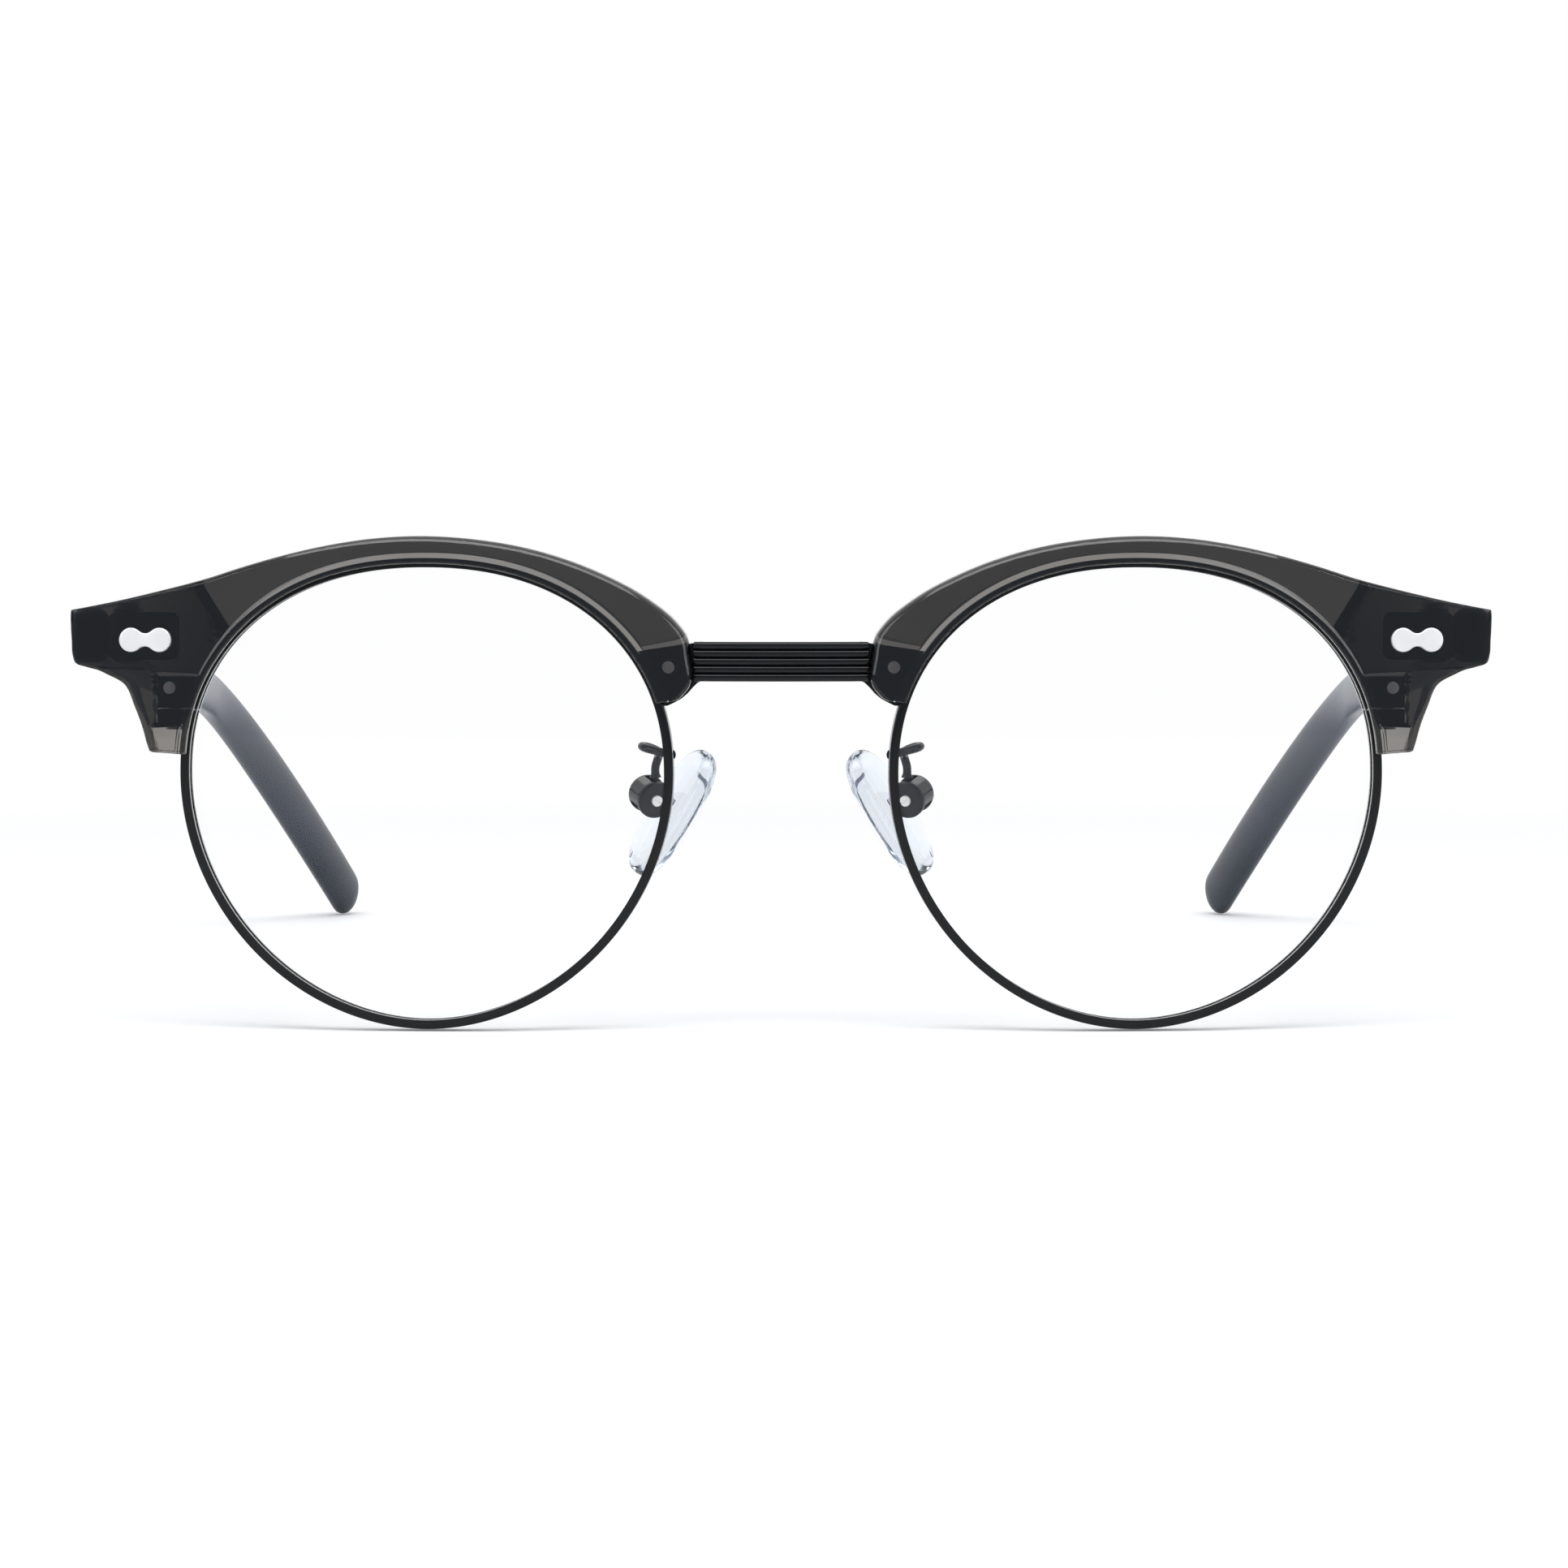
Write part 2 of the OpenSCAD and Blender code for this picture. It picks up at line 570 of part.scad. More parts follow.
// Hinge
knuckle_gap = 0.04;
knuckle_h = (barrel_h - (knuckles - 1) * knuckle_gap) / knuckles;
function knuckle_z(i) = hinge_z - barrel_h / 2 + i * (knuckle_h + knuckle_gap);
module leaf_plate(w, h, t) rotate([90, 0, 0]) linear_extrude(t) rounded(w, h, 0.8);
module barrel(i, r) translate([hinge_x, hinge_y, knuckle_z(i)]) cylinder(r = r, h = knuckle_h);
module front_hinge() color([0.66, 0.66, 0.68]) difference() {
  union() {
    translate([leaf_x, end_back, hinge_z]) leaf_plate(front_leaf_w, front_leaf_h, leaf_t);
    for (i = [0:2:knuckles - 1]) {
      barrel(i, barrel_r);
      translate([hinge_x - barrel_r * 0.8, end_back, knuckle_z(i)])
        cube([barrel_r * 1.6, barrel_r + swing_gap, knuckle_h]);
    }
  }
  translate([hinge_x, hinge_y, hinge_z - barrel_h]) cylinder(r = hinge_screw_r + fit, h = 2 * barrel_h);
  eye() for (p = rivet_at)
    along_y(p, rivet_r + fit, frame_depth(p, end_back - leaf_t - 1), frame_depth(p, end_back));
}
module temple_leaf(grow) translate([inner_x, butt_y, hinge_z]) rotate([-temple_slope, 0, 0]) {
  translate([-grow * 30, 0.2 - grow * 30, -temple_leaf_h / 2 - grow])
    cube([leaf_t + grow * 31, temple_leaf_l + grow * 31, temple_leaf_h + 2 * grow]);
  for (p = leaf_pegs) translate(p) rotate([0, 90, 0]) cylinder(r = peg_r + grow, h = peg_l + grow);
}
module temple_hinge() color([0.66, 0.66, 0.68]) difference() {
  union() {
    temple_leaf(0);
    for (i = [1:2:knuckles - 2]) {
      barrel(i, barrel_r);
      translate([hinge_x, hinge_y - 0.5, knuckle_z(i)])
        cube([inner_x - hinge_x + leaf_t / 2, barrel_r + 0.5, knuckle_h]);
    }
  }
  translate([hinge_x, hinge_y, hinge_z - barrel_h]) cylinder(r = hinge_screw_r + bore_play, h = 2 * barrel_h);
}
module hinge_screw() color([0.75, 0.75, 0.77]) translate([hinge_x, hinge_y, hinge_z - barrel_h / 2]) {
  cylinder(r = hinge_screw_r, h = barrel_h);
  translate([0, 0, barrel_h]) difference() {
    cylinder(r = hinge_screw_r * 1.6, h = head_h);
    translate([-hinge_screw_r * 2, -0.15, head_h - 0.25]) cube([hinge_screw_r * 4, 0.3, 0.5]);
  }
}
// Pegs that sink from the temple leaf into the temple
peg_r = 0.45;
peg_l = leaf_t + 1.8;
leaf_pegs = [[0, temple_leaf_l * 0.45, 1.4], [0, temple_leaf_l * 0.8, -1.4]];
temple_slope = atan(straight_drop / straight_l);

// Temple: a straight part that drops and bows out, then the ear bend
butt = [end_x - temple_t / 2, butt_y, hinge_z];
ear = butt + [bow, straight_l, -straight_drop];
tip = [ear.x - tip_in, butt_y + straight_l + ear_l - 1.9, tip_z];
ear_dir = unit(ear - butt);
tip_dir = unit([-9, 31, -23]);
ear_steps = 12;
straight_steps = 6;
function temple_at(s) =
  s < straight_steps ? butt + (ear - butt) * s / straight_steps
  : bend(ear, ear + 15 * ear_dir, tip - 26 * tip_dir, tip, (s - straight_steps) / ear_steps);
function temple_dir(s) =
  s < 0.01 ? [0, 1, 0] : unit(temple_at(s + 0.01) - temple_at(s - 0.01));
temple_end = straight_steps + ear_steps;
function ease(t) = t * t * (3 - 2 * t);
function swell(s) = s < straight_steps ? s / straight_steps : 1;
function temple_w(s) = temple_t + (temple_thin - temple_t) * ease(min(1, s / 3));
function temple_high(s) = temple_h + (ear_h - temple_h) * ease(swell(s));
// The butt is squarer than the rest
function temple_square(s) = 3.4 - ease(min(1, s / 4));
module temple() color([0.33, 0.35, 0.38]) difference() {
  hollow_skin(concat(
    [for (s = [0:temple_end - 1])
      ring(temple_at(s), temple_dir(s), temple_w(s), temple_high(s), temple_square(s), 16)],
    // The rounded tip
    [for (a = [0, 30, 55, 75, 88])
      ring(tip + tip_dir * (2.6 * sin(a) - 0.4), tip_dir, temple_thin * cos(a), ear_h * cos(a), 2.4, 16)]
  ), [for (s = core_stations) core_ring(s, core_r + fit)]);
  temple_leaf(fit);
}
core_stations = concat([0], [for (s = [straight_steps:temple_end - 2]) s]);
function core_ring(s, r) = ring(temple_at(s), temple_dir(s), 2 * r, 2 * r, 2, 16);
module core_wire() color([0.7, 0.7, 0.72])
  skin([for (s = core_stations) core_ring(s == 0 ? 0.02 : s == temple_end - 2 ? s - 0.05 : s, core_r)]);

// Nose pads: each rocks on a screw in its box, at the end of its arm
pad_at = [pad_x, pad_y, eye_z - pad_down];
module pad_frame() translate(pad_at) rotate([0, -pad_tilt, 0]) rotate([0, 0, -pad_splay]) children();
function pad_place(p) =
  let (q = turn([p.x, p.y], -pad_splay))
  pad_at + [q.x * cos(pad_tilt) - p.z * sin(pad_tilt), q.y, q.x * sin(pad_tilt) + p.z * cos(pad_tilt)];

box_in = 1;
box_wall = 0.5;
box_r = 1.9;
boss_r = 0.95;
box_back = 1.3;
pad_back = 2.05;
pad_head_h = 0.3;
// A round bar across the pad, along its screw
module across(r, y0, y1) translate([0, y0, 0]) rotate([-90, 0, 0]) cylinder(r = r, h = y1 - y0);
module pad_box() color([0.12, 0.13, 0.14]) pad_frame() difference() {
  across(box_r, -box_in - box_wall, box_in + box_wall);
  translate([-2 * box_r, -box_in, -2 * box_r]) cube([2 * box_r + box_back, 2 * box_in, 4 * box_r]);
  across(pad_screw_r + fit, -3, 3);
}
module pad_screw() color([0.8, 0.8, 0.82]) pad_frame() {
  across(pad_screw_r, -box_in - box_wall, box_in + box_wall);
  difference() {
    across(pad_screw_r * 1.35, -box_in - box_wall - pad_head_h, -box_in - box_wall);
    translate([0, -box_in - box_wall - pad_head_h, 0]) cube([pad_screw_r * 4, 0.3, 0.15], center = true);
  }
}
function pad_ring(x, inset) = [for (i = [0:23])
  let (a = 15 * i, n = 2.5)
  [
    x,
    (pad_w / 2 - inset) * sign(cos(a)) * pow(abs(cos(a)), 2 / n),
    (pad_l / 2 - inset) * sign(sin(a)) * pow(abs(sin(a)), 2 / n) - 0.4
  ]];
module nose_pad() color([0.93, 0.96, 1, 0.5]) pad_frame() difference() {
  union() {
    skin([
      pad_ring(-pad_back, 1.3), pad_ring(-pad_back - 0.2, 0.5), pad_ring(-pad_back - 0.6, 0.1),
      pad_ring(-pad_back - 1, 0), pad_ring(-pad_back - pad_t * 0.6, 0.2),
      pad_ring(-pad_back - pad_t * 0.85, 0.9), pad_ring(-pad_back - pad_t, 2.1)
    ]);
    translate([-pad_back - 0.3, -box_in + bore_play, -boss_r])
      cube([pad_back + 0.3, 2 * (box_in - bore_play), 2 * boss_r]);
    across(boss_r, -box_in + bore_play, box_in - bore_play);
  }
  across(pad_screw_r + bore_play, -3, 3);
}

// Pad arm: from the back of the eyewire, in a loop down to the box
arm_foot = edge(175.5, wire_t / 2);
arm_start = seat(arm_foot, sag(arm_foot) + wire_back + 2 * fit);
arm_end = pad_place([0.7, 0, box_r + 0.03]);
arm_points = [
  arm_start,
  arm_start + [0, 0.8, 0],
  arm_start + [1.5, 1.55, 0.35],
  arm_start + [2.6, 2.3, 0.62],
  arm_start + [2.8, 3, 0.72],
  arm_start + [2.2, 3.8, 0.6],
  arm_start + [1.2, 4.8, 0.05],
  arm_end + [-0.35, -0.7, 2.2],
  arm_end + [0, -0.2, 0.9],
  arm_end
];
arm_steps = 3;
arm_last = (len(arm_points) - 1) * arm_steps;
function arm_at(s) =
  let (i = min(floor(s / arm_steps), len(arm_points) - 2)) through(arm_points, i, s / arm_steps - i);
function arm_dir(s) = unit(arm_at(min(s + 0.1, arm_last)) - arm_at(max(s - 0.1, 0)));
function arm_ring(s) =
  let (t = arm_dir(s),
       side = unit(cross(t, [1, 0.2, 0])),
       up = cross(side, t))
  [for (a = [0:36:324]) arm_at(s) + arm_r * (side * cos(a) + up * sin(a))];
module pad_arm() color([0.12, 0.13, 0.14]) skin([for (s = [0:arm_last]) arm_ring(s)]);

left() rim();  // rim_left
right() rim();  // rim_right
left() lens();  // lens_left
right() lens();  // lens_right
left() brow();  // brow_left
right() brow();  // brow_right
left() bridge();
left() upper_block();  // upper_block_left
right() upper_block();  // upper_block_right
left() lower_block();  // lower_block_left
right() lower_block();  // lower_block_right
left() closing_screw();  // closing_screw_left
right() closing_screw();  // closing_screw_right
union() {
  left() brow_screws();
  right() brow_screws();
}
left() plaque();  // plaque_left
right() plaque();  // plaque_right
left() front_hinge();  // front_hinge_left
right() front_hinge();  // front_hinge_right
left() temple_hinge();  // temple_hinge_left
right() temple_hinge();  // temple_hinge_right
left() hinge_screw();  // hinge_screw_left
right() hinge_screw();  // hinge_screw_right
left() temple();  // temple_left
right() temple();  // temple_right
left() core_wire();  // core_wire_left
right() core_wire();  // core_wire_right
left() pad_arm();  // pad_arm_left
right() pad_arm();  // pad_arm_right
left() pad_box();  // pad_box_left
right() pad_box();  // pad_box_right
left() nose_pad();  // nose_pad_left
right() nose_pad();  // nose_pad_right
left() pad_screw();  // pad_screw_left
right() pad_screw();  // pad_screw_right
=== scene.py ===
"""Browline eyeglasses: the finish of every surface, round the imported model.

Metres in the scene, millimetres in the shape functions. The front faces -Y, +Z is up, and each
shape is drawn for the wearer's left side (+X) and mirrored for the right.
"""
import math

import bpy
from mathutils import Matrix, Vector


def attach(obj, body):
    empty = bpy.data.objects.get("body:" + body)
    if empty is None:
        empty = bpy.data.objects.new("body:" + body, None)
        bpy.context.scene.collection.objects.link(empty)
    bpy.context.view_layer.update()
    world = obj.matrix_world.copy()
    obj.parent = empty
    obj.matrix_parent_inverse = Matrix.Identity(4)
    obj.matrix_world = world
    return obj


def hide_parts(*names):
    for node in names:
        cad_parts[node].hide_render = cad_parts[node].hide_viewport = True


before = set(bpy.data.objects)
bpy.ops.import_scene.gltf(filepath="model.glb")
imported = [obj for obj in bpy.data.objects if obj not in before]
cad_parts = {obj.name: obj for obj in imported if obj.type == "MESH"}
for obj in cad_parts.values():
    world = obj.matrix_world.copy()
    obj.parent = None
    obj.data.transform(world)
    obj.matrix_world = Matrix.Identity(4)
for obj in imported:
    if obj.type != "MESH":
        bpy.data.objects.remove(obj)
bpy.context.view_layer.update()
scene = bpy.context.scene
MM = 0.001

# Camera, in millimetres: straight in front, near the height of the brows' top, dipped a little
MID_DEPTH = 70.607  # how far the lenses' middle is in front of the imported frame's origin
CAMERA_AWAY, CAMERA_ASIDE, CAMERA_UP, CAMERA_DIP = 430, 0.28, 47.28, 3.05
PHOTO_WIDTH = 154.56  # what the photograph takes in at the lenses
SENSOR = 36
camera = bpy.data.cameras.new("camera")
camera.sensor_width = SENSOR
camera.lens = SENSOR * CAMERA_AWAY / PHOTO_WIDTH
camera.clip_start = 0.01
view = bpy.data.objects.new("camera", camera)
view.location = (CAMERA_ASIDE * MM, -(MID_DEPTH + CAMERA_AWAY) * MM, CAMERA_UP * MM)
view.rotation_euler = (math.radians(90 - CAMERA_DIP), 0, 0)
scene.collection.objects.link(view)
scene.camera = view
scene.view_settings.view_transform = "Standard"


# Sizes, in millimetres, as in the part's source
LENS_W, LENS_H, LENS_T, LENS_R = 48, 45.7, 2, 220
WIDEST_UP = 2  # the lens is widest this far above its middle
FULL_TOP, FULL_LOW = 2.2, 1.94  # how full the upper and the lower half are
WIRE_T, WIRE_D = 0.9, 2.2
GROOVE_D, GROOVE_W = 0.44, 0.9
OPEN_HALF = LENS_W / 2 - GROOVE_D
OPEN_UP = LENS_H / 2 - WIDEST_UP - GROOVE_D
OPEN_DOWN = LENS_H / 2 + WIDEST_UP - GROOVE_D
WRAP = math.radians(2.5)
EYE_X, EYE_Z = 35.1, WIRE_T + OPEN_DOWN
SPLIT_UP, SPLIT = 6.4, 0.15  # the slit of the eyewire, over the widest place
FIT = 0.03
WIRE_BACK = WIRE_D / 2
SEAT_Y = -WIRE_BACK - FIT
LIP_T = 1.45
FRONT_Y = SEAT_Y - LIP_T
END_REACH, END_RISE, END_DROP, END_T = 11.8, 2.9, 2.5, 3.5
TAIL_DROP, TAIL_W, HINGE_UP, BROW_H = 11.3, 3.75, 13.5, 3.1


# Shape functions
def edge(angle, out=0.0):
    """Point of the lens opening at an angle, moved outward along its own normal."""
    s, c = math.sin(math.radians(angle)), math.cos(math.radians(angle))
    n, h = (FULL_TOP, OPEN_UP) if s > 0 else (FULL_LOW, OPEN_DOWN)
    r = ((abs(c) / OPEN_HALF) ** n + (abs(s) / h) ** n) ** (-1 / n)
    nx = math.copysign((r * abs(c) / OPEN_HALF) ** (n - 1) / OPEN_HALF, c)
    nz = math.copysign((r * abs(s) / h) ** (n - 1) / h, s)
    k = out / math.hypot(nx, nz)
    return (r * c + nx * k, r * s + nz * k)


def sag(x, z):
    """How far the lens curve lies behind its middle."""
    return LENS_R - math.sqrt(LENS_R ** 2 - x * x - z * z)


def seat(x, z, depth):
    """A point of the left lens frame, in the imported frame."""
    return (EYE_X + x * math.cos(WRAP) - depth * math.sin(WRAP),
            x * math.sin(WRAP) + depth * math.cos(WRAP) - MID_DEPTH,
            EYE_Z + z)


def frame_depth(x, y):
    """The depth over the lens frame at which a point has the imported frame's own depth y."""
    return (y - x * math.sin(WRAP)) / math.cos(WRAP)


def smooth(t):
    t = min(1.0, max(0.0, t))
    return t * t * (3 - 2 * t)


def mix(a, b, t):
    return tuple(p + (q - p) * t for p, q in zip(a, b))


def unit(v):
    n = math.sqrt(sum(c * c for c in v))
    return tuple(c / n for c in v)


def cross(a, b):
    return (a[1] * b[2] - a[2] * b[1], a[2] * b[0] - a[0] * b[2], a[0] * b[1] - a[1] * b[0])


def turns(count, shift=0.0):
    """Angles in equal steps, once round."""
    return [2 * math.pi * (k + shift) / count for k in range(count)]


def through(points, s):
    """A smooth curve through points, tangents weighted by the chords on each side."""
    last = len(points) - 1
    i = min(int(s), last - 1)
    t = s - i
    b, c = points[i], points[i + 1]
    bc = max(math.dist(b, c), 1e-3)

    def slope(p, q, r):
        pq, qr = max(math.dist(p, q), 1e-3), max(math.dist(q, r), 1e-3)
        return [((r[k] - q[k]) / qr * pq + (q[k] - p[k]) / pq * qr) / (pq + qr)
                for k in range(len(q))]

    chord = [(c[k] - b[k]) / bc for k in range(len(b))]
    mb = slope(points[i - 1], b, c) if i > 0 else chord
    mc = slope(b, c, points[i + 2]) if i + 1 < last else chord
    return tuple(
        b[k] * (1 + 2 * t) * (1 - t) ** 2 + c[k] * t * t * (3 - 2 * t)
        + mb[k] * bc * t * (1 - t) ** 2 - mc[k] * bc * t * t * (1 - t)
        for k in range(len(b)))


def rounded(corners, radii, steps=5):
    """A closed polygon with each corner turned into a short curve."""
    out = []
    n = len(corners)
    for i, p in enumerate(corners):
        before, after = corners[i - 1], corners[(i + 1) % n]
        ends = []
        for q in (before, after):
            length = max(math.dist(p, q), 1e-6)
            ends.append(mix(p, q, min(radii[i] / length, 0.48)))
        for k in range(steps + 1):
            t = k / steps
            out.append(tuple(
                ends[0][j] * (1 - t) ** 2 + 2 * p[j] * t * (1 - t) + ends[1][j] * t * t
                for j in range(len(p))))
    return out


# Meshes
def volume(points, faces):
    """Six times the volume that the faces enclose, negative where they face inward."""
    total = 0.0
    for face in faces:
        a = points[face[0]]
        for i in range(1, len(face) - 1):
            b, c = points[face[i]], points[face[i + 1]]
            total += (a[0] * (b[1] * c[2] - b[2] * c[1]) + a[1] * (b[2] * c[0] - b[0] * c[2])
                      + a[2] * (b[0] * c[1] - b[1] * c[0]))
    return total


def flip(faces):
    return [tuple(reversed(f)) for f in faces]


def shape(name, points, faces, material, body, slot, replaced=(), sharp=38):
    """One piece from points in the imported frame, in millimetres."""
    if volume(points, faces) < 0:
        faces = flip(faces)
    mesh = bpy.data.meshes.new(name)
    mesh.from_pydata([tuple(c * MM for c in p) for p in points], [], faces)
    mesh.validate()
    mesh.update()
    mesh.polygons.foreach_set("use_smooth", [True] * len(mesh.polygons))
    mesh.set_sharp_from_angle(angle=math.radians(sharp))
    mesh.materials.append(material)
    piece = bpy.data.objects.new(name, mesh)
    scene.collection.objects.link(piece)
    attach(piece, body)
    for node in replaced:
        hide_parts(node)


def pair(name, points, faces, material, body, slot, replaced=(), sharp=38):
    """The same piece on both sides. body and replaced take {} for left or right."""
    for side in ("left", "right"):
        if side == "left":
            p, f = points, faces
        else:
            p, f = [(-x, y, z) for x, y, z in points], flip(faces)
        shape(f"{name}_{side}", p, f, material, body.format(side), slot,
              [r.format(side) for r in replaced], sharp)


def skin(rings, caps=True):
    """Faces through rings of equally many points, with a cap on each end ring."""
    m = len(rings[0])
    points = [p for ring in rings for p in ring]
    faces = []
    last = (len(rings) - 1) * m
    for a in range(0, last, m):
        for j in range(m):
            k = (j + 1) % m
            faces.append((a + j, a + k, a + m + k, a + m + j))
    if caps:
        faces.append(tuple(range(m - 1, -1, -1)))
        faces.append(tuple(range(last, last + m)))
    return points, faces


# Materials
class Wire:
    """A value socket: sums and products on it add Math nodes."""

    def __init__(self, paint, socket):
        self.paint, self.socket = paint, socket

    def math(self, operation, a, b):
        return self.paint.node("ShaderNodeMath", {"operation": operation}, {0: a, 1: b})

    def __add__(self, other):
        return self.math("ADD", self, other)

    def __sub__(self, other):
        return self.math("SUBTRACT", self, other)

    def __mul__(self, other):
        return self.math("MULTIPLY", self, other)

    def __rsub__(self, other):
        return self.math("SUBTRACT", other, self)

    __radd__ = __add__
    __rmul__ = __mul__


class Paint:
    """The nodes of a new material, or of the world."""

    def __init__(self, name, owner=None):
        self.owner = owner or bpy.data.materials.new(name)
        self.owner.use_nodes = True
        self.tree = self.owner.node_tree
        self.tree.nodes.clear()

    def node(self, kind, settings=None, sockets=None, out=0):
        made = self.tree.nodes.new(kind)
        for key, value in (settings or {}).items():
            if key == "stops":
                ramp = made.color_ramp
                while len(ramp.elements) < len(value):
                    ramp.elements.new(0.5)
                for element, (place, color) in zip(ramp.elements, value):
                    element.position = place
                    element.color = (*color, 1) if len(color) == 3 else color
            else:
                setattr(made, key, value)
        for key, value in (sockets or {}).items():
            socket = made.inputs[key]
            if isinstance(value, Wire):
                self.tree.links.new(value.socket, socket)
            else:
                socket.default_value = value
        return Wire(self, made.outputs[out])

    def larger(self, a, b):
        return self.node("ShaderNodeMath", {"operation": "MAXIMUM"}, {0: a, 1: b})

    def rays(self):
        """Which rays come from the camera, and which come off a mirror or through glass."""
        seen, glossy, clear = (self.node("ShaderNodeLightPath", out=f"Is {kind} Ray")
                               for kind in ("Camera", "Glossy", "Transmission"))
        return seen, self.larger(glossy, clear)

    def place(self):
        return self.node("ShaderNodeTexCoord", out="Object")

    def noise(self, scale, detail=2.0, rough=0.5, vector=None):
        return self.node("ShaderNodeTexNoise", {"noise_dimensions": "3D"}, {
            "Vector": vector or self.place(), "Scale": scale, "Detail": detail,
            "Roughness": rough})

    def stretched(self, scale):
        """Places scaled by axis, so that what is drawn on them is drawn out."""
        return self.node("ShaderNodeMapping", None, {"Vector": self.place(), "Scale": scale})

    def mixed(self, blend, factor, a, b):
        return self.node("ShaderNodeMix", {"data_type": "RGBA", "blend_type": blend},
                         {0: factor, 6: a, 7: b}, out=2)

    def ramp(self, value, stops):
        return self.node("ShaderNodeValToRGB", {"stops": stops}, {0: value})

    def bump(self, height, strength, distance):
        return self.node("ShaderNodeBump", None,
                         {"Height": height, "Strength": strength, "Distance": distance})

    def finish(self, surface, inside=None, kind="Material"):
        end = self.tree.nodes.new("ShaderNodeOutput" + kind)
        self.tree.links.new(surface.socket, end.inputs["Surface"])
        if inside:
            self.tree.links.new(inside.socket, end.inputs["Volume"])
        return self.owner


def scratches(paint):
    """Fine wiping marks: long thin noise, in two directions."""
    first, second = (paint.noise(420, 4, 0.6, paint.stretched(scale))
                     for scale in ((1.0, 0.06, 1.0), (0.08, 1.0, 0.5)))
    return first * second


def smoke_acetate():
    """Dark smoke acetate: clear, and darker the deeper it is."""
    paint = Paint("smoke_acetate")
    marks = scratches(paint)
    cloud = paint.noise(60, 3, 0.5)
    surface = paint.node("ShaderNodeBsdfPrincipled", None, {
        "Base Color": paint.ramp(cloud, [(0.3, (0.78, 0.75, 0.71)), (0.7, (0.95, 0.94, 0.92))]),
        "Roughness": marks * 0.06 + 0.015,
        "IOR": 1.49,
        "Transmission Weight": 1.0,
        "Specular IOR Level": 0.5,
        "Normal": paint.bump(marks, 0.02, 0.0001),
    })
    inside = paint.node("ShaderNodeVolumeAbsorption", None,
                        {"Color": (0.256, 0.244, 0.233, 1), "Density": 1150.0})
    return paint.finish(surface, inside)


def black_metal(name="black_lacquer", color=(0.003, 0.0034, 0.004), rough=0.1, grain=0.02):
    """Black lacquered metal with a soft sheen and fine orange peel."""
    paint = Paint(name)
    peel = paint.noise(2600, 2, 0.5)
    wear = paint.noise(240, 4, 0.6)
    surface = paint.node("ShaderNodeBsdfPrincipled", None, {
        "Base Color": paint.ramp(wear, [(0.35, color), (0.75, tuple(c * 1.7 for c in color))]),
        "Roughness": wear * 0.14 + rough,
        "IOR": 1.5,
        "Specular IOR Level": 0.24,
        "Normal": paint.bump(peel, grain, 0.00005),
    })
    return paint.finish(surface)


def silver(name="plated_silver", color=(0.78, 0.77, 0.76), rough=0.28, metallic=0.75):
    """Plated metal with fine drawn lines and faint spots."""
    paint = Paint(name)
    lines = paint.noise(900, 3, 0.6, paint.stretched((1.0, 1.0, 14.0)))
    spots = paint.noise(380, 4, 0.6)
    surface = paint.node("ShaderNodeBsdfPrincipled", None, {
        "Base Color": paint.ramp(spots, [(0.3, tuple(c * 0.93 for c in color)), (0.7, color)]),
        "Metallic": metallic,
        "Roughness": lines * 0.18 + rough,
        "Normal": paint.bump(lines, 0.06, 0.00005),
    })
    return paint.finish(surface)


PAINTED_LIGHT_SPAN = 0.04  # metres of height that the ramp of the temples' colour, painted shade and painted highlight covers


def temple_acetate():
    """Blue-grey acetate of the temples, polished, with faint clouds; by height, painted shade
    darkens it towards the tips and a painted highlight lightens it near the hinge.
    """
    paint = Paint("blue_grey_acetate")
    along = paint.stretched((1.0, 0.25, 1.0))
    cloud = paint.noise(70, 3, 0.55, along)
    wipe = paint.noise(160, 1, 0.4, along)
    height = paint.node("ShaderNodeSeparateXYZ", None, {0: paint.place()}, out="Z")
    # Colour by height: the acetate's own blue-grey in the middle, painted shade low down towards
    # the tips, and a painted highlight high up by the hinge
    tone_and_painted_light = paint.ramp(height * (1 / PAINTED_LIGHT_SPAN), [
        (0.15, (0.009, 0.018, 0.032)), (0.34, (0.046, 0.054, 0.076)), (0.5, (0.066, 0.075, 0.092)),
        (0.66, (0.084, 0.092, 0.114)), (0.8, (0.165, 0.18, 0.22)), (0.9, (0.23, 0.25, 0.3))])
    clouds = paint.ramp(cloud, [(0.3, (0.88, 0.88, 0.89)), (0.7, (1.0, 1.0, 1.0))])
    surface = paint.node("ShaderNodeBsdfPrincipled", None, {
        "Base Color": paint.mixed("MULTIPLY", 1.0, clouds, tone_and_painted_light),
        "Roughness": wipe * 0.1 + 0.25,
        "IOR": 1.49,
        "Specular IOR Level": 0.22,
        "Normal": paint.bump(wipe, 0.02, 0.0001),
    })
    return paint.finish(surface)


def clear_pad():
    """Clear soft pad plastic."""
    paint = Paint("clear_pad")
    cloud = paint.noise(300, 3, 0.5)
    surface = paint.node("ShaderNodeBsdfPrincipled", None, {
        "Base Color": (0.87, 0.9, 0.945, 1),
        "Roughness": cloud * 0.06 + 0.02,
        "IOR": 1.42,
        "Transmission Weight": 1.0,
        "Normal": paint.bump(cloud, 0.06, 0.0002),
    })
    inside = paint.node("ShaderNodeVolumeAbsorption", None,
                        {"Color": (0.80, 0.84, 0.88, 1), "Density": 90.0})
    return paint.finish(surface, inside)


def clear_lens():
    """Coated clear lens: a faint mirror that grows towards glancing angles."""
    paint = Paint("clear_lens")
    fresnel = paint.node("ShaderNodeFresnel", None, {"IOR": 1.5})
    dust = paint.noise(900, 2, 0.5)
    surface = paint.node("ShaderNodeBsdfPrincipled", None, {
        "Base Color": (0.95, 0.98, 1.0, 1),
        "Metallic": 1.0,
        "Roughness": dust * 0.02 + 0.01,
        "Alpha": fresnel * 0.25,
    })
    return paint.finish(surface)


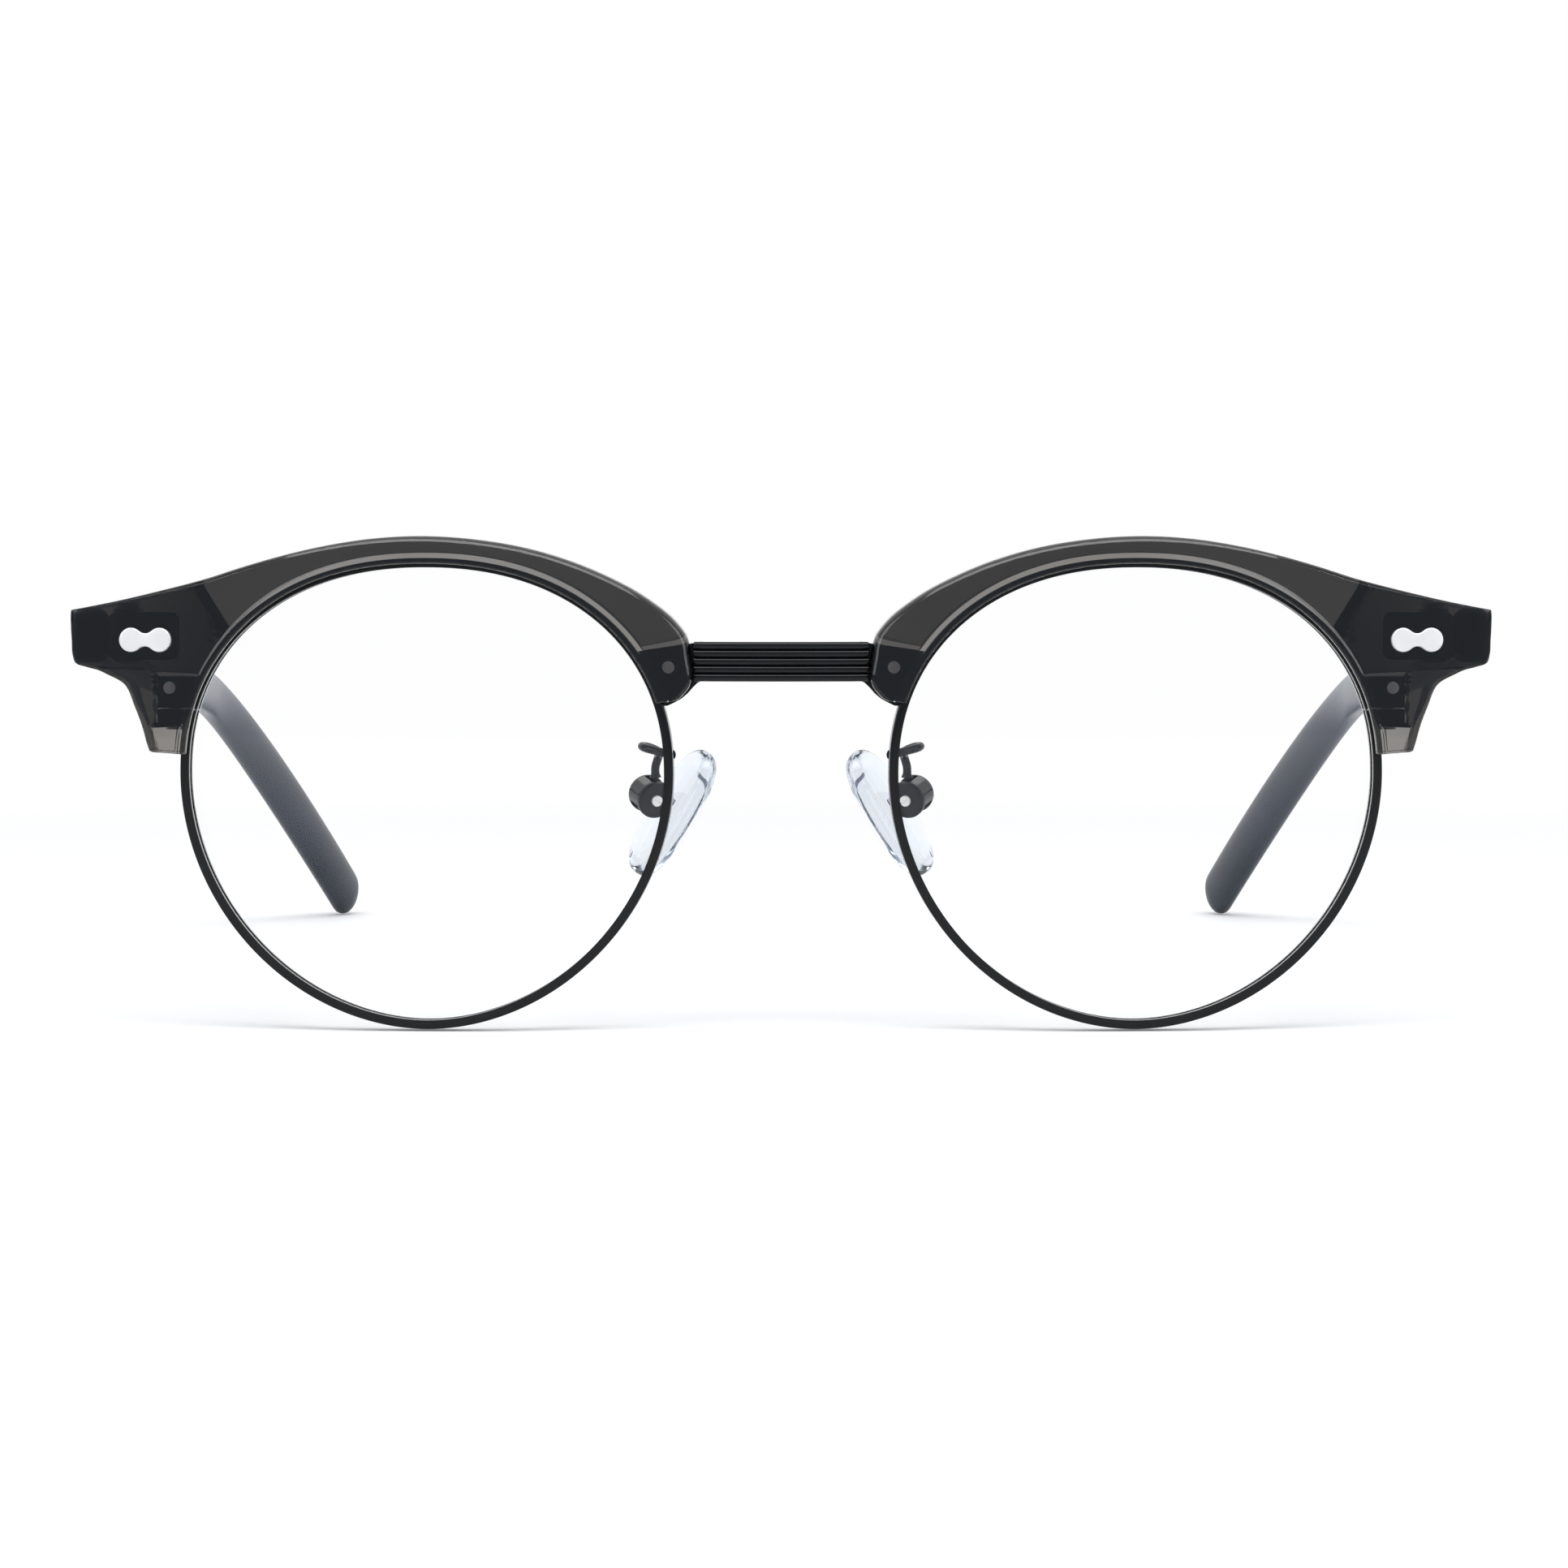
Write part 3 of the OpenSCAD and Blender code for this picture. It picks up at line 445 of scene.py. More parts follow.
SMOKE = smoke_acetate()
BLACK = black_metal()
SILVER = silver(color=(0.88, 0.87, 0.86), metallic=0.3)
BRIGHT = silver("bright_screw", (0.93, 0.92, 0.9), 0.25, 0.2)
ARM = black_metal("pad_lacquer", (0.011, 0.013, 0.018), 0.1, 0.0)
PLATED = silver("nickel_plate", (0.55, 0.55, 0.57), 0.3, 0.9)
DULL = black_metal("dark_block", (0.03, 0.031, 0.034), 0.35)
TEMPLE = temple_acetate()
PAD = clear_pad()
LENS = clear_lens()


# Eyewire: one wire round the lens, open at its slit
def rim():
    up, down = (math.degrees(math.asin((SPLIT_UP + gap / 2) / (LENS_W / 2)))
                for gap in (SPLIT, -SPLIT))
    corners = [(0, -WIRE_BACK), (WIRE_T, -WIRE_BACK), (WIRE_T, WIRE_BACK), (0, WIRE_BACK),
               (0, GROOVE_W / 2), (GROOVE_D, GROOVE_W / 2),
               (GROOVE_D, -GROOVE_W / 2), (0, -GROOVE_W / 2)]
    section = rounded(corners, [0.1, 0.22, 0.22, 0.1, 0.03, 0.05, 0.05, 0.03], 4)
    rings = []
    steps = 300
    for i in range(steps + 1):
        angle = up + (360 + down - up) * i / steps
        places = [(*edge(angle, d), v) for d, v in section]
        rings.append([seat(x, z, sag(x, z) + v) for x, z, v in places])
    return skin(rings)


# Lens: dished, with the tongue that sits in the groove
def lens():
    steps, rows, half = 240, 8, LENS_T / 2
    tongue, thick, bevel = 0.38, 0.42, 0.06
    brim = [(1, -FIT - bevel, half), (1, -FIT, half - bevel), (1, -FIT, thick), (1, tongue, thick)]
    bowl = [(k / rows, 0.0, half) for k in range(1, rows)] + brim
    profile = [(k, d, -v) for k, d, v in bowl] + bowl[::-1]
    rings = []
    for k, d, v in profile:
        ring = []
        for i in range(steps):
            x, z = edge(360 * i / steps, d)
            x, z = x * k, z * k
            ring.append(seat(x, z, sag(x, z) + v))
        rings.append(ring)
    points, faces = skin(rings, caps=False)
    faces = flip(faces)
    for first, depth in ((0, -half), (len(rings) - 1, half)):
        points.append(seat(0, 0, depth))
        c = len(points) - 1
        for i in range(steps):
            a, b = first * steps + i, first * steps + (i + 1) % steps
            faces.append((c, a, b) if depth < 0 else (c, b, a))
    return points, faces


# Brow, its outer edge from the nose to the tail. Each point has its tie, the angle of the lens
# opening where its section starts, and then its own angle and its height over the opening
NASAL_EDGE = [
    (162.9, 163.4, 1.6), (162.5, 163.6, 2.35), (161.3, 162.8, 3.25), (160, 161.8, 3.95),
    (158, 160.6, 4.45), (153.5, 156.6, 5.27), (149.7, 153.4, 5.8), (149.3, 152.9, 5.82),
    (147.2, 149.9, 5.75), (142.3, 143.3, 5.1), (132.4, 132.4, BROW_H + 0.95),
    (117.5, 117.5, BROW_H + 0.2), (101.7, 101.7, BROW_H - 0.05), (89.2, 89.2, BROW_H),
    (76.8, 76.8, BROW_H + 0.05), (65.1, 65.1, BROW_H + 0.3), (54, 54, BROW_H + 1)]
# The same, with the place beyond the opening's side and above the hinge line
END_EDGE = [
    (47, 17.9 - OPEN_HALF, END_RISE + 4.1), (36.2, 22 - OPEN_HALF, END_RISE + 2.81),
    (35.7, 22.4 - OPEN_HALF, END_RISE + 2.7), (35.3, 2.4, END_RISE + 1.8),
    (34.6, 7.4, END_RISE + 0.65), (33.9, END_REACH - 1.97, END_RISE + 0.17),
    (33.5, END_REACH - 0.5, END_RISE - 0.1),
    (33.35, END_REACH - 0.25, END_RISE - 0.145), (33.2, END_REACH - 0.04, END_RISE - 0.21),
    (33, END_REACH, END_RISE - 0.4), (32.7, END_REACH + 0.02, END_RISE - 0.7),
    (31.6, END_REACH + 0.03, END_RISE - 1.8), (29.5, END_REACH - 0.06, -0.34),
    (27.2, END_REACH - 0.15, 0.8 - END_DROP), (25.8, END_REACH - 0.42, -END_DROP),
    (24.6, END_REACH - 1.6, -END_DROP - 0.45), (23.4, END_REACH - 2.85, -END_DROP - 0.77),
    (22.4, END_REACH - 3.7, -END_DROP - 1.15), (20.5, TAIL_W + 2.55, 6.65 - TAIL_DROP),
    (17, TAIL_W + 1.5, 4.45 - TAIL_DROP), (11.5, TAIL_W + 0.75, 2.5 - TAIL_DROP),
    (7.2, TAIL_W + 0.3, 0.9 - TAIL_DROP), (4.7, TAIL_W, -TAIL_DROP)]
EDGE = [edge(a, d) for _, a, d in NASAL_EDGE]
EDGE += [(OPEN_HALF + u, HINGE_UP + w) for _, u, w in END_EDGE]
TIES = [k[0] for k in NASAL_EDGE + END_EDGE]
BRIDGE_CORNER = edge(153.4, 5.8)
BRIDGE_UP = BRIDGE_CORNER[1] - 2.3
PLATE_X = BRIDGE_CORNER[0] + 2.33


def wire_show(angle):
    """How much of the eyewire shows inside the lip: less towards the temple."""
    return 0.16 + 0.22 * smooth((angle - 30) / 35)


def rebate(angle):
    """Gap over the eyewire: it closes towards the temple."""
    return 0.14 + 0.36 * smooth((angle - 22) / 38)


# Back of the end piece, where the hinge leaf is let in
END_BACK = seat(OPEN_HALF + END_REACH, HINGE_UP,
                sag(OPEN_HALF + END_REACH, HINGE_UP) + FRONT_Y)[1] + MID_DEPTH + END_T


# Where the zones of the brow's back meet: by tie, and for the block also by its side and its foot
PLATE_TIE, BLOCK_TIE = 149.7, 24.4
BLOCK_SIDE, BLOCK_FOOT = 26.75, 5.0


def back_depth(x, z, angle):
    """Depth of the brow's back: bridge plate, eyewire, hinge and block, with slopes between."""
    plate = sag(x, z) - FIT
    wire = sag(x, z) + WIRE_BACK
    hinge = frame_depth(x, END_BACK)
    depth = plate + (wire - plate) * smooth((PLATE_TIE - angle) / 0.4)
    # The step down to the hinge is a curved slope
    near = 19.75 + 0.64 * (z - 15)
    far = max(21.14 + 0.25 * (z - 13.4), 21.5 + 0.6 * (z - 15))
    if x > 0:
        depth += (hinge - depth) * smooth((x - near) / (far - near))
    # Round the closing block the tail keeps its full depth outside, and is thin below it
    block = plate + (wire - plate) * smooth((x - BLOCK_SIDE) / 0.35)
    outside = OPEN_HALF + TAIL_W + 0.3 * (z - 2.2)
    thin = smooth((BLOCK_FOOT - z) / 0.3) * smooth((outside - x) / 0.9)
    block += (sag(x, z) + SEAT_Y - block) * thin
    return depth + (block - depth) * smooth((BLOCK_TIE - angle) / 0.8)


def front_round(x, angle):
    """Radius along the front edge: widest over the lens, small at the end piece's corner."""
    if angle > 154:
        return 0.35 + 0.55 * smooth((161 - angle) / 7)
    if angle > 33.2:
        return 0.9 - 0.0165 * max(0, min(x, 30)) - 0.025 * max(0, x - 30)
    return 0.3 - 0.14 * smooth(angle - 31.6)


# Sides of the brow's section that take extra points: the front face and the back face
FRONT_SIDE, BACK_SIDE = 2, 4
EXTRA = {FRONT_SIDE: 7, BACK_SIDE: 15}
ROUND_STEPS = 5


def brow_section(s):
    """The section at a place along the outer edge: x and z, and the depth over the lens frame."""
    i = min(int(s), len(EDGE) - 2)
    angle = TIES[i] + (TIES[i + 1] - TIES[i]) * (s - i)
    top = through(EDGE, s)
    lip, roof = edge(angle, wire_show(angle)), edge(angle, WIRE_T + rebate(angle))
    corners = [(*roof, sag(*roof) + SEAT_Y), (*lip, sag(*lip) + SEAT_Y),
               (*lip, sag(*lip) + FRONT_Y), (*top, sag(*top) + FRONT_Y),
               (*top, back_depth(*top, angle)), (*roof, back_depth(*roof, angle))]
    front = front_round(top[0], angle)
    radii = [0.02, 0.06, 0.22, front * 1.15, 0.25 + 0.3 * front, 0.12]
    ring = rounded(corners, radii, ROUND_STEPS)
    # The extra points keep to the lens curve in front, and to the back's own depth
    m = ROUND_STEPS + 1
    full = []
    for side in range(len(corners)):
        full += ring[side * m:(side + 1) * m]
        here, there = full[-1], ring[((side + 1) * m) % len(ring)]
        count = EXTRA.get(side, 0)
        for k in range(1, count + 1):
            t = k / (count + 1)
            x, z, v = mix(here, there, t)
            if side == FRONT_SIDE:
                v += sag(x, z) - sag(*here[:2]) * (1 - t) - sag(*there[:2]) * t
            else:
                v = back_depth(x, z, angle)
            full.append((x, z, v))
    return full


def brow_end(ring, other):
    """Rings that shrink from an end ring towards its middle, for a rounded end."""
    radius = 0.26
    middle, before = ([sum(p[k] for p in r) / len(r) for k in range(3)] for r in (ring, other))
    step = unit([m - b for m, b in zip(middle, before)])
    made = []
    for inset in (0.0, 0.05, 0.14, radius):
        push = math.sqrt(max(0.0, radius ** 2 - (radius - inset) ** 2)) - radius
        keep = [max(0.0, 1 - inset / max(math.dist(p, middle), 1e-6)) for p in ring]
        made.append([tuple(middle[j] + (p[j] - middle[j]) * k + step[j] * push for j in range(3))
                     for p, k in zip(ring, keep)])
    return made


def brow():
    steps = 8
    rings = [brow_section(k / steps) for k in range((len(EDGE) - 1) * steps + 1)]
    first, last = brow_end(rings[0], rings[1]), brow_end(rings[-1], rings[-2])
    rings = first[::-1] + rings[1:-1] + last
    return skin([[seat(x, z, v) for x, z, v in ring] for ring in rings])


# Bridge bar: five ridges on an arc, its ends behind the brows
def bridge():
    high, deep, ridges, radius, proud = 3.9, 2.1, 5, 40.0, 0.26
    up, front, reach = EYE_Z + BRIDGE_UP, -1.6, EYE_X + PLATE_X - 2.92
    top, back, facets = high / 2, deep - proud, 8
    outline = []
    for i in range(ridges):
        for k in range(facets + 1):
            u = k / facets
            outline.append((high * (i + u) / ridges - top, proud * (abs(2 * u - 1) ** 2.6 - 1)))
    outline += [(top, 0.25), (top - 0.05, back - 0.09), (top - 0.3, back),
                (0.3 - top, back), (0.05 - top, back - 0.09), (-top, 0.25)]
    span = math.asin(reach / radius)
    rings = []
    steps = 40
    for i in range(steps + 1):
        a = span * (2 * i / steps - 1)
        ring = []
        for z, depth in outline:
            r = radius - proud - depth
            ring.append((r * math.sin(a), front + radius - r * math.cos(a) - MID_DEPTH, up + z))
        rings.append(ring)
    return skin(rings)


def bridge_plate():
    """Plate behind each brow's lower lobe, with its rounded outline."""
    thick = 1.1
    lobe = [(2.6, 1.0), (-2.2, 1.7), (-3.6, 1.95), (-3.6, -1.95), (-3.21, -2.13), (-2.74, -2.59),
            (-2.21, -3.2), (-1.6, -3.71), (-0.98, -4.05), (-0.29, -4.38)]
    outline = [(PLATE_X + x, BRIDGE_UP + z) for x, z in lobe]
    outline += [edge(a, WIRE_T) for a in (164, 161.5, 159, 156.5, 154, 151.5)]
    return skin([[seat(x, z, sag(x, z) + depth) for x, z in outline]
                 for depth in (FIT, FIT + thick)])


# Temple: straight to the ear bend, then one curve to the tip. A place on it is counted from its
# butt: the bend starts at EAR_AT and the tip is at TIP_AT
HINGE_Z = EYE_Z + HINGE_UP
END_X = seat(OPEN_HALF + END_REACH, HINGE_UP, FRONT_Y)[0] - 0.1
STRAIGHT_L, BEND_L = 92, 45
EAR_AT, TIP_AT = 6, 18
EAR_PULL, TIP_PULL = 15, 26  # how strongly the curve follows each end's direction
EAR_OUT, EAR_DROP = 1.4, 9.3
TIP_TURN, TIP_SHORT, TIP_UP = 12.6, 1.9, 2.95
BUTT_W, BUTT_H, BUTT_SQUARE = 4, 5.3, 3.4
TIP_W, TIP_H, TIP_SQUARE = 3.4, 6.2, 2.1
EAR_H = 5.4
BUTT = (END_X - BUTT_W / 2, END_BACK + 0.15, HINGE_Z)
EAR = (BUTT[0] + EAR_OUT, BUTT[1] + STRAIGHT_L, BUTT[2] - EAR_DROP)
TIP = (EAR[0] - TIP_TURN, EAR[1] + BEND_L - TIP_SHORT, TIP_UP)
EAR_DIR = unit([b - a for a, b in zip(BUTT, EAR)])
TIP_DIR = unit((-9, 31, -23))


def temple_at(s):
    """A place on the path of the core wire."""
    if s < EAR_AT:
        return mix(BUTT, EAR, s / EAR_AT)
    t = (s - EAR_AT) / (TIP_AT - EAR_AT)
    leave = [e + EAR_PULL * d for e, d in zip(EAR, EAR_DIR)]
    arrive = [e - TIP_PULL * d for e, d in zip(TIP, TIP_DIR)]
    weights = ((1 - t) ** 3, 3 * t * (1 - t) ** 2, 3 * t * t * (1 - t), t ** 3)
    return tuple(sum(w * p[k] for w, p in zip(weights, (EAR, leave, arrive, TIP)))
                 for k in range(3))


def temple_dir(s):
    if s < 0.01:
        return (0.0, 1.0, 0.0)
    a, b = temple_at(s - 0.01), temple_at(s + 0.01)
    return unit([q - p for p, q in zip(a, b)])


def temple_size(s):
    """Width, height and squareness of the section."""
    bend = smooth((s - EAR_AT) / (TIP_AT - EAR_AT))
    return (BUTT_W + (TIP_W - BUTT_W) * smooth(s / 3),
            BUTT_H + (EAR_H - BUTT_H) * smooth(s / EAR_AT) + (TIP_H - EAR_H) * bend,
            BUTT_SQUARE + (TIP_SQUARE - BUTT_SQUARE) * smooth(s / 4))


def temple_middle(s):
    """The section's middle: over the core's path at the bend, below it at the tip."""
    along = temple_dir(s)
    up = cross(unit(cross(along, (0, 0, 1))), along)
    rise = 0.8 * smooth(s / EAR_AT) - 1.2 * smooth((s - EAR_AT) / (TIP_AT - EAR_AT))
    return tuple(a + u * rise for a, u in zip(temple_at(s), up))


def oval(at, along, wide, high, square):
    """A ring across a path; squareness 2 is an ellipse, and more of it fills the corners."""
    side = unit(cross(along, (0, 0, 1)))
    up = cross(side, along)
    ring = []
    for a in turns(48, 0.5):
        c, s = math.cos(a), math.sin(a)
        u = wide / 2 * math.copysign(abs(c) ** (2 / square), c)
        v = high / 2 * math.copysign(abs(s) ** (2 / square), s)
        ring.append(tuple(at[k] + side[k] * u + up[k] * v for k in range(3)))
    return ring


def temple():
    rings = []
    # Butt with a small round edge
    wide, high, square = temple_size(0)
    for inset, push in ((0.5, 0.0), (0.22, 0.05), (0.07, 0.16), (0.0, 0.35)):
        at = (BUTT[0], BUTT[1] + push, BUTT[2])
        rings.append(oval(at, (0.0, 1.0, 0.0), wide - 2 * inset, high - 2 * inset, square))
    fine = 5
    for i in range(1, TIP_AT * fine):
        s = i / fine
        rings.append(oval(temple_middle(s), temple_dir(s), *temple_size(s)))
    # Rounded tip
    end, tip_r, overlap = temple_middle(TIP_AT), 2.6, 0.4
    wide, high, square = temple_size(TIP_AT)
    for a in (0, 12, 24, 36, 48, 58, 68, 76, 82, 87):
        c, s = math.cos(math.radians(a)), math.sin(math.radians(a))
        at = [e + d * (tip_r * s - overlap) for e, d in zip(end, TIP_DIR)]
        rings.append(oval(at, TIP_DIR, wide * c, high * c, square))
    points, faces = skin([[(x, y - MID_DEPTH, z) for x, y, z in ring] for ring in rings])
    return points, flip(faces)


# Rivet plaque: two discs and a waist, on the plane that touches the lens curve there
LEAF_L, LEAF_IN = 7.1, 3.8
LEAF_X = END_X - LEAF_IN - LEAF_L / 2
PLAQUE_IN, PLAQUE_DOWN = 0.34, 0.24  # off the leaf's middle, as in the photograph
PLAQUE_AT = ((LEAF_X - EYE_X) / math.cos(WRAP) - PLAQUE_IN, HINGE_UP - PLAQUE_DOWN)
PLAQUE_R, PLAQUE_GAP, PLAQUE_WAIST, RIVET_R = 1.2, 2.9, 0.65, 0.6


def on_tangent(at, across, depth, up):
    """A point beside the place where the front touches its tangent plane."""
    c, s = math.cos(math.asin(at[1] / LENS_R)), -at[1] / LENS_R
    y, z = depth * c - up * s, depth * s + up * c
    c, s = math.cos(math.asin(at[0] / LENS_R)), at[0] / LENS_R
    x, y = across * c - y * s, across * s + y * c
    return seat(at[0] + x, at[1] + z, sag(*at) + FRONT_Y + y)


def plaque_line(grow):
    """Outline of the plaque, moved outward."""
    half = PLAQUE_GAP / 2
    waist = (half ** 2 + PLAQUE_WAIST ** 2 - PLAQUE_R ** 2) / (2 * (PLAQUE_R - PLAQUE_WAIST))
    lean = math.atan2(PLAQUE_WAIST + waist, half)
    disc_steps, waist_steps = 20, 12
    disc, hollow = PLAQUE_R + grow, waist - grow
    line = []
    for side in (1, -1):
        for k in range(disc_steps + 1):
            a = (math.pi - lean) * (2 * k / disc_steps - 1)
            line.append((side * (half + disc * math.cos(a)), side * disc * math.sin(a)))
        for k in range(1, waist_steps):
            a = math.pi / 2 - lean - (math.pi - 2 * lean) * k / waist_steps
            line.append((side * hollow * math.sin(a),
                         side * (PLAQUE_WAIST + waist - hollow * math.cos(a))))
    return line


def plaque():
    steps = ((0, 0.27), (0, -0.16), (-0.015, -0.22), (-0.05, -0.265), (-0.11, -0.295), (-0.2, -0.3))
    return skin([[on_tangent(PLAQUE_AT, u, depth, w) for u, w in plaque_line(grow)]
                 for grow, depth in steps])


def rivet(side):
    """Shank of one rivet, from the plaque back to the hinge leaf."""
    x, z = PLAQUE_AT[0] + side * PLAQUE_GAP / 2, PLAQUE_AT[1]
    first, last, bevel = sag(x, z) + FRONT_Y, frame_depth(x, END_BACK - 0.1), 0.08
    return skin([[seat(x + r * math.cos(a), z + r * math.sin(a), v) for a in turns(32)]
                 for r, v in ((RIVET_R, first), (RIVET_R, last - bevel), (RIVET_R - bevel, last))])


# Nose pads: each has its own frame, with the pad screw along its second axis
PAD_L, PAD_W, PAD_T, PAD_BACK = 14.2, 7.6, 2.6, 2.05
PAD_TILT, PAD_SPLAY = math.radians(31), math.radians(28)
PAD_AT = (13.1, 8 - MID_DEPTH, EYE_Z - 2.6)
BOX_R, BOX_IN, BOX_WALL, BOX_BACK, BOSS_R = 1.9, 1.0, 0.5, 1.3, 0.95
ARM_R = 0.43


def pad_place(x, y, z):
    """A point of the left pad's own frame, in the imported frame."""
    c, s = math.cos(PAD_SPLAY), math.sin(PAD_SPLAY)
    x, y = x * c + y * s, y * c - x * s
    c, s = math.cos(PAD_TILT), math.sin(PAD_TILT)
    return (PAD_AT[0] + x * c - z * s, PAD_AT[1] + y, PAD_AT[2] + x * s + z * c)


def nose_pad():
    """The pad: a full back edge and a domed face."""
    profile = [(0, 3.7), (0, 2.6), (0.01, 1.5), (0.2, 0.5), (0.6, 0.1), (1.0, 0.0),
               (0.6 * PAD_T, 0.2), (0.82 * PAD_T, 0.85), (0.94 * PAD_T, 1.75),
               (0.985 * PAD_T, 2.7), (PAD_T, 3.7)]
    fine, full, low = 4, 0.8, 0.4
    rings = []
    for k in range((len(profile) - 1) * fine + 1):
        x, inset = through(profile, k / fine)
        ring = []
        for a in turns(72):
            c, s = math.cos(a), math.sin(a)
            ring.append(pad_place(
                -PAD_BACK - x,
                (PAD_W / 2 - inset) * math.copysign(abs(c) ** full, c),
                (PAD_L / 2 - inset) * math.copysign(abs(s) ** full, s) - low))
        rings.append(ring)
    return skin(rings)


def pad_boss():
    """Lug of the pad that sits between the walls of its box."""
    sunk, steps, half, bevel = 0.25, 16, 0.95, 0.1
    line = [(-PAD_BACK - sunk, BOSS_R), (-PAD_BACK - sunk, -BOSS_R)]
    line += [(BOSS_R * math.sin(a), -BOSS_R * math.cos(a))
             for a in (math.pi * k / steps for k in range(steps + 1))]
    rings = []
    for y, inset in ((-half, bevel), (0.03 - half, 0.03), (bevel - half, 0.0),
                     (half - bevel, 0.0), (half - 0.03, 0.03), (half, bevel)):
        keep = 1 - inset / BOSS_R
        rings.append([pad_place(x if x < -PAD_BACK else x * keep, y, z * keep) for x, z in line])
    return skin(rings)


def pad_box():
    """Two round walls, joined behind the lug of the pad."""
    high = math.sqrt(BOX_R ** 2 - BOX_BACK ** 2)
    out = BOX_IN + BOX_WALL
    # Half the section: place along the screw, inset of the edge, and whether the disc is whole
    half = [(BOX_IN, 0, False), (BOX_IN, 0, True), (out - 0.24, 0, True), (out - 0.1, 0.04, True),
            (out - 0.03, 0.14, True), (out, 0.3, True)]
    rings = []
    for y, inset, whole in [(-y, inset, whole) for y, inset, whole in half[::-1]] + half:
        ring = []
        for a in turns(64, 0.5):
            x, z = (BOX_R - inset) * math.cos(a), (BOX_R - inset) * math.sin(a)
            if not whole and x < BOX_BACK:
                x, z = BOX_BACK, max(-high, min(high, z))
            ring.append(pad_place(x, y, z))
        rings.append(ring)
    return skin(rings)


def pad_arm():
    """Wire from the back of the eyewire, round a loop, down to its box."""
    foot = edge(175.5, WIRE_T / 2)
    start = seat(*foot, sag(*foot) + WIRE_BACK + 2 * FIT)
    end = pad_place(0.7, 0, BOX_R + 0.03)

    def by(p, x, y, z):
        return (p[0] + x, p[1] + y, p[2] + z)

    line = [start, by(start, 0, 0.8, 0), by(start, 1.5, 1.55, 0.35), by(start, 2.6, 2.3, 0.62),
            by(start, 2.8, 3, 0.72), by(start, 2.2, 3.8, 0.6), by(start, 1.2, 4.8, 0.05),
            by(end, -0.35, -0.7, 2.2), by(end, 0, -0.2, 0.9), end]
    rings = []
    last, fine, near = len(line) - 1, 8, 0.05
    for k in range(last * fine + 1):
        s = k / fine
        a, at, b = (through(line, max(0, min(last, s + d))) for d in (-near, 0, near))
        along = unit([q - p for p, q in zip(a, b)])
        side = unit(cross(along, (1, 0.2, 0)))
        up = cross(side, along)
        # Thicker where it is soldered to the rim and to the box
        solder = 0.5 * max(0, 1 - 1.6 * s) ** 2 + 0.35 * max(0, 1 - 1.8 * (last - s)) ** 2
        r = ARM_R * (1 + solder)
        rings.append([tuple(at[j] + r * (side[j] * math.cos(c) + up[j] * math.sin(c))
                            for j in range(3)) for c in turns(20)])
    return skin(rings)


pair("rim", *rim(), BLACK, "front", "black_metal", ["rim_{}"])
pair("lens", *lens(), LENS, "front", "lens", ["lens_{}"])
pair("brow", *brow(), SMOKE, "front", "brow_acetate", ["brow_{}"])
pair("temple", *temple(), TEMPLE, "temple_{}", "temple_acetate", ["temple_{}"])
shape("bridge_bar", *bridge(), BLACK, "front", "black_metal", ["bridge"])
pair("bridge_plate", *bridge_plate(), BLACK, "front", "black_metal")
pair("plaque_face", *plaque(), SILVER, "front", "plaque_metal", ["plaque_{}"])
for side, name in ((-1, "rivet_inner"), (1, "rivet_outer")):
    pair(name, *rivet(side), SILVER, "front", "plaque_metal")
pair("pad_wire", *pad_arm(), ARM, "front", "black_metal", ["pad_arm_{}"], sharp=60)
pair("pad_cup", *pad_box(), ARM, "front", "black_metal", ["pad_box_{}"])
pair("pad_face", *nose_pad(), PAD, "pad_{}", "pad_clear", ["nose_pad_{}"], sharp=60)
pair("pad_lug", *pad_boss(), PAD, "pad_{}", "pad_clear")

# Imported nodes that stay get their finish
for node, material in (("upper_block", DULL), ("lower_block", DULL), ("closing_screw", PLATED),
                       ("front_hinge", PLATED), ("temple_hinge", PLATED), ("hinge_screw", PLATED),
                       ("core_wire", PLATED), ("pad_screw", BRIGHT)):
    for side in ("left", "right"):
        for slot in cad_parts[f"{node}_{side}"].material_slots:
            slot.material = material
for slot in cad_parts["brow_screws"].material_slots:
    slot.material = PLATED


# Floor and light, in metres
NEAR_GLOW = 0.14  # what the floor shows of the white backdrop by the object
SHADE_R, PLAIN_R = 0.16, 0.34  # the shadow's floor ends between these
FLOOR_HALF = 3.0
PALE = (0.78, 0.78, 0.78, 1)
WHITE = (1, 1, 1, 1)


